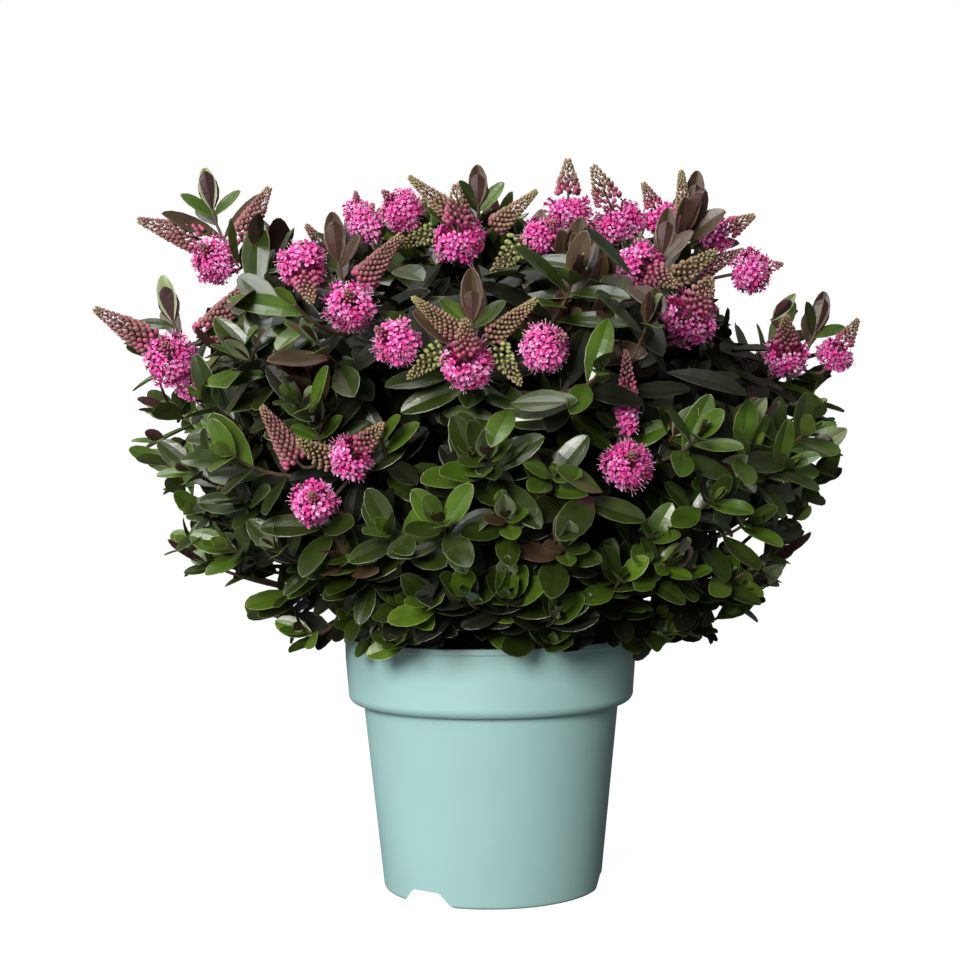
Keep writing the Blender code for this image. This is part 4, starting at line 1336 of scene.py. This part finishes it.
def clotheShoot(path, facing, pairs, chance, style):  # gives the share of its leaves that fit
    length = pathLength(path)
    tip = path[0][-1]
    _, tipWay, _ = along(path, 1.0)
    growth = (growthDirection(tip) * 0.4 + tipWay * 0.8 + sunward(tip)).normalized()
    if style == "flower":
        growth = (growthDirection(tip) * 0.1 + tipWay * 0.8 + up).normalized()
    spin = chance.uniform(-0.35, 0.35)
    showy = style in ("flower", "pale")
    full = byHeight(leafSizes["lengths"], tip.z)
    wide = byHeight(leafSizes["widths"], tip.z)
    vigour = chance.uniform(0.86, 1.08)
    plumTip = chance.random() < 0.5 or style == "pale"
    tries = 0
    fitted = 0
    for pair in pairs:
        back = leafSizes["stations"][pair] * mm * (0.4 + 0.6 * full / (50 * mm))
        if back > length * 0.96:
            break
        joint, way, _ = along(path, 1 - back / length)
        axis = (way * 0.5 + growth * 0.7).normalized()
        across = facing.cross(axis).normalized()
        ahead = axis.cross(across)
        turn = (spin if pair or not showy else 0) + chance.uniform(-0.12, 0.12)
        side = ahead if pair % 2 == 0 else across
        other = across if pair % 2 == 0 else -ahead
        side = side * math.cos(turn) + other * math.sin(turn)
        for sign in (1, -1):
            tilt = math.radians(leafSizes["tilts"][pair] + chance.uniform(-9, 9))
            tilt *= 0.6 if style == "bronze" else 1
            tilt += math.radians(20) if showy and pair == 1 else 0
            out = axis * math.cos(tilt) + side * sign * math.sin(tilt)
            out += Vector([chance.uniform(-0.13, 0.13) for _ in range(3)])
            if out.z < -0.1:  # leaves hang only a little
                out.z *= 0.45
            out = out.normalized()
            upperSide = (axis + up * (0.3 if pair else 0)).normalized()
            if pair and style in ("flower", "bronze"):
                upperSide = (axis + facing * 0.9).normalized()
            size = leafSizes["growth"][pair] * vigour * chance.uniform(0.88, 1.1)
            kind = leafKind(pair, tip, chance, style, plumTip)
            shape = 3 if pair == 0 else (chance.randrange(3) if tip.z < 0.31 else 4 + chance.randrange(3))
            if style == "inner":
                shape = 7 + chance.randrange(2)
            long = full * size
            broad = wide * (0.35 + 0.65 * size) * chance.uniform(0.92, 1.08)
            nearness = 1
            if pair == 0 and style == "bronze":
                long *= 1.6
                broad *= 1.3
            elif pair == 0 and showy:
                long, broad = leafSizes["apexLeaf"]
                long *= vigour * (chance.uniform(0.6, 0.95) if sign > 0 else 1.1)
                long *= 1.0 if style == "flower" else (0.7 if sign > 0 else 0.95)
                broad *= 1.0 if sign > 0 else 0.92
                out = (axis + side * sign * (0.12 if sign > 0 else 0.3)).normalized()
            elif pair == 0:
                long *= 1.35 if plumTip and tip.z > 300 * mm else 1.0
                broad *= 0.8
            elif showy and pair < 4:
                long *= (0.8, 0.76, 0.86)[pair - 1]
                broad *= (0.82, 0.78, 0.88)[pair - 1]
            if style == "flower" and pair < 4 and (pair == 0 or out.dot(facing) < 0.45):
                nearness = 0.4 if pair else 0
            if style == "bronze" and pair < 3:
                nearness = 0.8
            tries += 1
            fitted += placeLeaf(kind, shape, joint - out * 0.5 * mm, out, upperSide, long, broad, nearness)
    return fitted / max(1, tries)


def spikeLine(joint, middle, way, kind, size, chance):  # a flower spike's axis, with a slight sag
    shape = spikeKinds[kind]
    scale = size * chance.uniform(0.97, 1.03)
    length = shape["length"] * scale * mm
    foot = middle - way * length * shape["middle"]
    sag = Vector([chance.uniform(-0.4, 0.4) for _ in range(3)]) + up * 0.5
    sag = sag * chance.uniform(0.02, 0.09) * length
    return {
        "joint": joint, "foot": foot, "way": way, "kind": kind, "scale": scale, "length": length, "sag": sag,
    }


def onSpike(line, t):
    return line["foot"] + line["way"] * line["length"] * t + line["sag"] * t * t


def guardSpike(line, facing):  # balls along the spike that leaves stay out of, and their way out
    shape = spikeKinds[line["kind"]]
    outward = (onSpike(line, 0.5) - crown["heart"]).normalized()
    for t in (0.15, 0.4, 0.65, 0.9):
        spot = onSpike(line, t)
        radius = shape["budRadius"] * (1.1 - 0.8 * t) * line["scale"] * mm
        if shape["open"] and t < shape["open"]:
            radius = shape["ballRadius"] * line["scale"] * mm
        guards.append((spot, outward, facing, radius + clearing["margins"][shape["ballRadius"] == 0]))


def hitsFlowers(points, nearness):
    middle = points[len(points) // 2]
    for spot, outward, facing, radius in guards:
        if (middle - spot).length > clearing["ahead"] + 40 * mm:  # too far off to meet
            continue
        for p in points:
            off = p - spot
            if off.length < radius * nearness:
                return True
            if nearness < 1:
                continue
            for way, reach in ((outward, clearing["outward"]), (facing, clearing["ahead"])):
                share = off.dot(way)
                if 0 < share < reach and (off - way * share).length < radius - clearing["slack"]:
                    return True
    return False


def flowerSpike(line, chance):
    kind = line["kind"]
    shape = spikeKinds[kind]
    scale, length, way = line["scale"], line["length"], line["way"]
    matrix = frameAt(line["foot"], way, up)
    side = matrix.to_3x3() @ Vector((1, 0, 0))
    other = matrix.to_3x3() @ Vector((0, 1, 0))
    reach = (line["foot"] - line["joint"]).length
    bend = line["foot"] - way * reach * 0.5
    stalk = bow(line["joint"], bend, line["foot"], (0, 0.25, 0.5, 0.75))
    stalk += [onSpike(line, t) for t in (0, 0.3, 0.6, 0.95)]
    flowerStalks.add(stalk, [radius * mm for radius in (1.1, 1.1, 1.1, 1.1, 1.1, 1, 0.8, 0.4)])
    turn = chance.uniform(0, math.tau)
    openLength = shape["open"] * length
    ball = shape["ballRadius"] * scale * mm
    fade = chance.random()
    count = int(shape["florets"] * min(1, scale * scale))
    top = 0.6 if kind == "half" else 0.93
    for i in range(count):
        rise = -0.8 + (0.8 + top) * (i + 0.5) / count
        a = turn + golden * i
        flat = math.sqrt(1 - rise * rise)
        outward = (side * math.cos(a) + other * math.sin(a)) * flat + way * rise
        outward = (outward + Vector([chance.uniform(-0.25, 0.25) for _ in range(3)])).normalized()
        centre = onSpike(line, shape["open"] * 0.5)
        tall = max(ball, openLength * 0.5)
        reach = (side * math.cos(a) + other * math.sin(a)) * flat * ball + way * rise * tall
        place = centre + reach * chance.uniform(0.66, 0.98)
        roll = chance.random() + (0.25 if rise < -0.2 else 0)
        tone = "vivid" if roll < 0.42 - fade * 0.15 else ("pink" if roll < 0.9 - fade * 0.2 else "faded")
        stance = frameAt(place, outward, way + side * chance.uniform(-1, 1))
        size = chance.uniform(0.8, 1.05)
        floretPoints[tone].add(stance, (size, size, size), chance.randrange(4))
        if chance.random() < 0.6:
            stamenPoints.add(stance, (1, 1, 1), chance.randrange(4))
    count = shape["buds"]
    first = shape["open"] * 0.88
    for i in range(count):
        u = (i + 0.5) / count
        t = first + (1.0 - first) * u
        a = turn + golden * i
        narrowing = 1 - u
        outer = shape["budRadius"] * scale * mm * (0.16 + 0.84 * narrowing ** 0.85)
        size = max(2.1 * mm, min(4.0 * mm, outer * 0.52))
        lean = math.radians(18 + 34 * narrowing)
        aside = side * math.cos(a) + other * math.sin(a)
        outward = (aside * math.sin(lean) + way * math.cos(lean)).normalized()
        base = onSpike(line, t) + aside * max(0.2 * mm, outer - size * math.sin(lean) * 0.9)
        roll = chance.uniform(-0.12, 0.12) + u
        tone = next(tint for limit, tint in shape["tones"] if roll + fade * 0.12 < limit)
        fat = size * chance.uniform(0.95, 1.15)
        budPoints[tone].add(frameAt(base, outward, way), (fat, fat, size * chance.uniform(0.95, 1.15)))


def twigPath(root, tip, arriving, thick):  # it bends to reach its tip in the given direction
    bend = tip - arriving * (tip - root).length * 0.45
    return bow(root, bend, tip, [i / 7 for i in range(8)]), taper(thick, 0.9 * mm, 8)


def addTwig(path):  # woody up to its green tip
    split = 1 - min(0.6, 26 * mm / max(pathLength(path), 1 * mm))
    rows = [along(path, split * i / 5) for i in range(6)]
    woodyTwigs.add([row[0] for row in rows], [row[2] for row in rows])
    rows = [along(path, split * 0.97 + (1 - split * 0.97) * i / 5) for i in range(6)]
    greenTwigs.add([row[0] for row in rows], [max(0.8 * mm, row[2] * 0.98) for row in rows])


def placeFlowers(path, facing, group, chance):
    length = pathLength(path)
    across = up.cross(facing).normalized()
    tip = path[0][-1]
    for kind, right, rise, ahead, lean, toward, size in flowerGroups[group]:
        a = math.radians(lean + chance.uniform(-3, 3))
        t = math.radians(toward + chance.uniform(-3, 3))
        way = (up * math.cos(a) + across * math.sin(a)) * math.cos(t) + facing * math.sin(t)
        middle = tip + (across * right + up * rise + facing * ahead) * mm
        drop = max(3 * mm, 5 * mm - rise * mm + abs(right) * 0.5 * mm)
        joint, _, _ = along(path, max(0.0, 1 - drop / length))
        line = spikeLine(joint, middle, way, kind, size, chance)
        guardSpike(line, facing)
        flowerSpike(line, chance)


def crownSpots():  # tips spread evenly over the crown's surface and over the layers inside it
    spots = []
    for count, depth in ((crown["outerShoots"], 0.0), *crown["innerLayers"]):
        inner = depth > 0
        for i in range(count):
            chance = random.Random(f"{crown['seed']} {depth} {i}")
            z = 1 - 2 * (i + 0.5) / count
            flat = math.sqrt(1 - z * z)
            a = golden * i + depth * 15
            way = Vector((flat * math.cos(a), flat * math.sin(a), z))
            way = (way + Vector([chance.uniform(-0.05, 0.05) for _ in range(3)])).normalized()
            way.z *= crown["sideRise"] if way.z > 0 else 1
            heading = way.normalized()
            tip = crown["heart"] + heading * crownReach(heading) * (way.length if way.z > 0 else 1)
            inset = byHeight(leafSizes["lengths"], tip.z) * 0.62 + depth + chance.uniform(-6, 8) * mm
            if not inner and chance.random() > byHeight((1.0, 0.66), tip.z):
                continue
            spots.append((tip - heading * inset, inner))
    return [(spot, inner) for spot, inner in spots if spot.z > crown["lowestShoots"][inner] * mm]


def skirtSpots():  # tips in rings over the pot's rim
    spots = []
    for radius, height, count in crown["skirtRings"]:
        for i in range(count):
            chance = random.Random(f"{crown['seed']} skirt {radius} {i}")
            bearing = 360 * (i + chance.uniform(-0.2, 0.2)) / count
            lift = chance.uniform(-4, 10) * mm
            spot = towards(bearing) * radius * chance.uniform(0.95, 1.04) + up * (height + lift)
            spots.append((spot, radius < 80 * mm))
    return spots


def shootSpots(tips):
    marked = [(Vector(row[:3]) * mm, row[3]) for row in markedShoots]
    kept = list(marked)
    taken = [*tips.values(), *(tip for tip, _ in marked)]
    flowering = [tips[name] for name, mass in masses.items() if mass.group]
    centres = [tip - growthDirection(tip) * 15 * mm for tip in flowering]
    for tip, inner in crownSpots() + skirtSpots():
        if outsideOutline([tip], -outline["shootInset"]):
            continue
        if min((tip - other).length for other in taken) < crown["spacing"]:
            continue
        if not inner and tip.y < crown["hollowDepth"] and inHollow(tip):
            tip = tip - growthDirection(tip) * crown["hollowInset"]
            inner = True
        for centre in centres:  # flowers stand clear of their neighbours
            near = 1 - (tip - centre).length / clearing["shootReach"]
            if near > 0:
                tip = tip - growthDirection(tip) * clearing["shootDepth"] * min(1.0, near * 2)
        kept.append((tip, "inner" if inner else "plain"))
    return kept


def growStems(tips, feet, limbs):  # the shoots that the boughs end in, with their flowers and leaves
    stems = {}
    for name, mass in masses.items():
        chance = random.Random(f"{crown['seed']} {name}")
        foot, tip = feet[name], tips[name]
        _, arriving, _ = along(limbs[name], 1.0)
        rising = growthDirection(tip) * (0.3 if mass.group else 1) + up * (0.8 if mass.group else 0.2)
        path = twigPath(foot - arriving * 1 * mm, tip, rising.normalized(), 1.8 * mm)
        addTwig(path)
        stems[name] = path
        if mass.group:
            placeFlowers(path, towards(mass.facing), mass.group, chance)
    for name, mass in masses.items():
        chance = random.Random(f"{crown['seed']} leaves {name}")
        firstPair = 3 if mass.group == "topMiddleRight" else 0  # no leaves show among those flowers
        style = "flower" if mass.group else "pale"
        clotheShoot(stems[name], towards(mass.facing), range(firstPair, 7), chance, style)
    return stems


def growSideShoots(tips, limbs, stems):
    middles = {name: tips[name] - growthDirection(tips[name]) * crown["massDepth"] * 0.56 for name in masses}
    spots = shootSpots(tips)
    print(f"  {len(spots)} side shoots")
    for i, (tip, style) in enumerate(spots):
        chance = random.Random(f"{crown['seed']} shoot {i}")
        near = min(middles, key=lambda name: (tip - middles[name]).length)
        behind = tip - (growthDirection(tip) - up * 0.1) * crown["shootLength"]
        joints = [along(limbs[near], share)[0] for share in (0.4, 0.5, 0.6, 0.7, 0.8, 0.9, 0.98)]
        joints += [along(stems[near], share)[0] for share in (0.1, 0.25, 0.4)]
        joints = [joint for joint in joints if joint.z < tip.z - 4 * mm] or joints[:1]
        joints.sort(key=lambda joint: (joint - behind).length)
        arriving = growthDirection(tip) + sunward(tip) * 0.5 + up * (0.45 if tip.z < 300 * mm else 0.2)
        for root in joints[:5]:
            path = twigPath(root, tip, arriving.normalized(), 1.5 * mm)
            if not inSkyGap(path[0], 0.7):
                break
        else:
            continue
        outward = Vector((tip.x, tip.y, 0)).normalized()
        bearing = math.degrees(math.atan2(outward.x, -outward.y))
        if i < len(markedShoots):
            facing = towards(chance.uniform(-15, 15))
        else:
            facing = towards(bearing + chance.uniform(-70, 70))
        fitted = clotheShoot(path, facing, range(6 if style == "inner" else 7), chance, style)
        if fitted > (0.6 if style == "inner" else 0.45):
            addTwig(path)


def growCrown():
    tips, feet, limbs = placeLimbs()
    buildWood(limbs)
    stems = growStems(tips, feet, limbs)
    growSideShoots(tips, limbs, stems)


def buildLeaves():
    shapes = [
        leafMesh("leafBroadFlat", 1.25, 0.52, -0.06, 0.26, 0.032),
        leafMesh("leafBroadArched", 1.25, 0.52, -0.20, 0.20, 0.032),
        leafMesh("leafBroadCupped", 1.2, 0.54, 0.05, 0.36, 0.032),
        leafMesh("leafFolded", 1.1, 0.6, 0.12, 0.7, 0.04),
        leafMesh("leafLongFlat", 1.15, 0.56, -0.05, 0.28, 0.032),
        leafMesh("leafLongArched", 1.15, 0.56, -0.20, 0.22, 0.032),
        leafMesh("leafLongCupped", 1.12, 0.58, 0.06, 0.36, 0.032),
        plainLeafMesh("leafPlainFlat", 1.15, 0.55, -0.05),
        plainLeafMesh("leafPlainArched", 1.15, 0.55, -0.2),
    ]
    shelf = shapeShelf("leafShape", shapes)
    counts = [sum(len(p.vertices) - 2 for p in shape.polygons) for shape in shapes]
    for kind, points in leafPoints.items():
        count = len(points.places)
        pieces = max(1, math.ceil(sum(counts[pick] for pick in points.picks) / leafSizes["mostTriangles"]))
        order = sorted(range(count), key=lambda i: points.places[i].x)
        parts = [f"{kind}Leaf", f"{kind}LeafRim", f"{kind}LeafBack"]
        for piece in range(pieces):
            share = points.part(order[piece * count // pieces:(piece + 1) * count // pieces])
            name = f"{kind}Leaves" + (f"_{piece + 1}" if pieces > 1 else "")
            ridePlant(share.build(name, shelf, 5, parts, 0.04), foliageNodes)


def buildFlowers():
    florets = shapeShelf("floretShape", [floretMesh(f"floret{i}", i) for i in range(4)])
    for kind, points in floretPoints.items():
        parts = [f"{kind}Petal", f"{kind}PetalEdge", "floretThroat"]
        ridePlant(points.build(f"{kind}Florets", florets, 6, parts), foliageNodes)
    stamens = shapeShelf("stamenShape", [stamenMesh(f"stamen{i}", i) for i in range(4)])
    ridePlant(stamenPoints.build("stamens", stamens, 7, ["filament", "anther"]), foliageNodes)
    buds = shapeShelf("budShape", [budMesh("bud")])
    for kind, points in budPoints.items():
        parts = [f"{kind}Bud", f"{kind}BudFoot"]
        ridePlant(points.build(f"{kind}Buds", buds, 8, parts, 0.08), foliageNodes)


def buildTwigs():
    ridePlant(woodyTwigs.build("woodyTwigs", 6, "bark"), foliageNodes)
    ridePlant(greenTwigs.build("greenTwigs", 6, "greenStem"), foliageNodes)
    ridePlant(flowerStalks.build("flowerStalks", 5, "flowerStalk"), foliageNodes)


groups = {"mottle": mottleGroup(), "grain": grainGroup()}
trees = {f"setOut{n}": setOutTree(n) for n in (1, 2, 3)}
trees["stems"] = stemTree()
makeFinish("potPlastic", (0.36, 0.592, 0.586), 0.42, 14, 0.035, 1400, 0.05 * mm)
makeFinish("soil", (0.075, 0.042, 0.026), 0.95, 160, 0.6, 1500, 1.2 * mm, specular=0.2)
makeFinish("barkChip", (0.50, 0.23, 0.11), 0.9, 220, 0.6, 1800, 0.8 * mm, specular=0.2)
makeFinish("bark", (0.085, 0.05, 0.03), 0.85, 180, 0.5, 1300, 0.6 * mm, specular=0.3)
makeFinish("greenStem", (0.10, 0.065, 0.035), 0.5, 90, 0.4, 900, 0.2 * mm)
makeFinish("flowerStalk", (0.10, 0.07, 0.04), 0.6, 90, 0.4, 900, 0.2 * mm)
makeFinish("floretThroat", (0.32, 0.010, 0.085), 0.5, 300, 0.3)
makeFinish("filament", (0.90, 0.45, 0.66), 0.5, 300, 0.2)
makeFinish("anther", (0.80, 0.55, 0.60), 0.7, 300, 0.3)
leafTints = {  # face, rim and back, then the face's roughness, coat and specular level
    "deep": ((0.025, 0.042, 0.005), (0.075, 0.105, 0.03), (0.055, 0.075, 0.018), 0.29, 0.32, 0.5),
    "mid": ((0.060, 0.116, 0.009), (0.14, 0.19, 0.05), (0.085, 0.12, 0.024), 0.31, 0.32, 0.5),
    "fresh": ((0.087, 0.154, 0.011), (0.19, 0.25, 0.06), (0.11, 0.16, 0.03), 0.33, 0.32, 0.5),
    "bronze": ((0.066, 0.040, 0.021), (0.12, 0.072, 0.047), (0.062, 0.026, 0.022), 0.42, 0.1, 0.5),
    # pale young leaves: the face is partly their own paler green and partly a painted sheen
    "young": ((0.27, 0.33, 0.17), (0.32, 0.35, 0.20), (0.045, 0.015, 0.017), 0.5, 0.1, 0.5),
    # the near-black matte finish is partly older leaves' own colour and partly painted shade inside the
    # crown
    "old": ((0.0095, 0.011, 0.004), (0.021, 0.021, 0.009), (0.015, 0.014, 0.007), 0.5, 0.0, 0.25),
}
for kind, (face, rim, back, roughness, coat, specular) in leafTints.items():
    makeFinish(f"{kind}Leaf", face, roughness, 70, 0.28, 700, 0.12 * mm, coat, specular)
    makeFinish(f"{kind}LeafRim", rim, 0.4, 70, 0.25, 700, 0.1 * mm)
    makeFinish(f"{kind}LeafBack", back, 0.45, 70, 0.25, 700, 0.12 * mm)
petalTints = {  # each lobe's inner half and its edge
    "vivid": ((0.62, 0.018, 0.24), (0.78, 0.09, 0.41)),
    "pink": ((0.70, 0.05, 0.35), (0.87, 0.23, 0.58)),
    "faded": ((0.70, 0.14, 0.45), (0.90, 0.47, 0.73)),
}
for kind, (inner, edge) in petalTints.items():
    makeFinish(f"{kind}Petal", inner, 0.55, 220, 0.2, 1500, 0.1 * mm)
    makeFinish(f"{kind}PetalEdge", edge, 0.55, 220, 0.15, 1500, 0.1 * mm)
budTints = {  # tip and foot
    "rose": ((0.46, 0.10, 0.19), (0.20, 0.05, 0.07)),
    "mauve": ((0.30, 0.125, 0.125), (0.12, 0.05, 0.045)),
    "tan": ((0.33, 0.215, 0.13), (0.12, 0.07, 0.045)),
    "olive": ((0.31, 0.27, 0.12), (0.12, 0.11, 0.05)),
    "green": ((0.33, 0.37, 0.12), (0.13, 0.16, 0.045)),
}
for kind, (tip, foot) in budTints.items():
    makeFinish(f"{kind}Bud", tip, 0.5, 200, 0.25, 1500, 0.1 * mm)
    makeFinish(f"{kind}BudFoot", foot, 0.6, 200, 0.25, 1500, 0.1 * mm)

setStage()
print("stage set")
buildPot()
print("pot turned")
buildSoil()
print("potting mix laid")
growCrown()
print("shoots grown")
buildLeaves()
print("leaves set out")
buildFlowers()
print("flowers set out")
buildTwigs()
print("twigs set out")
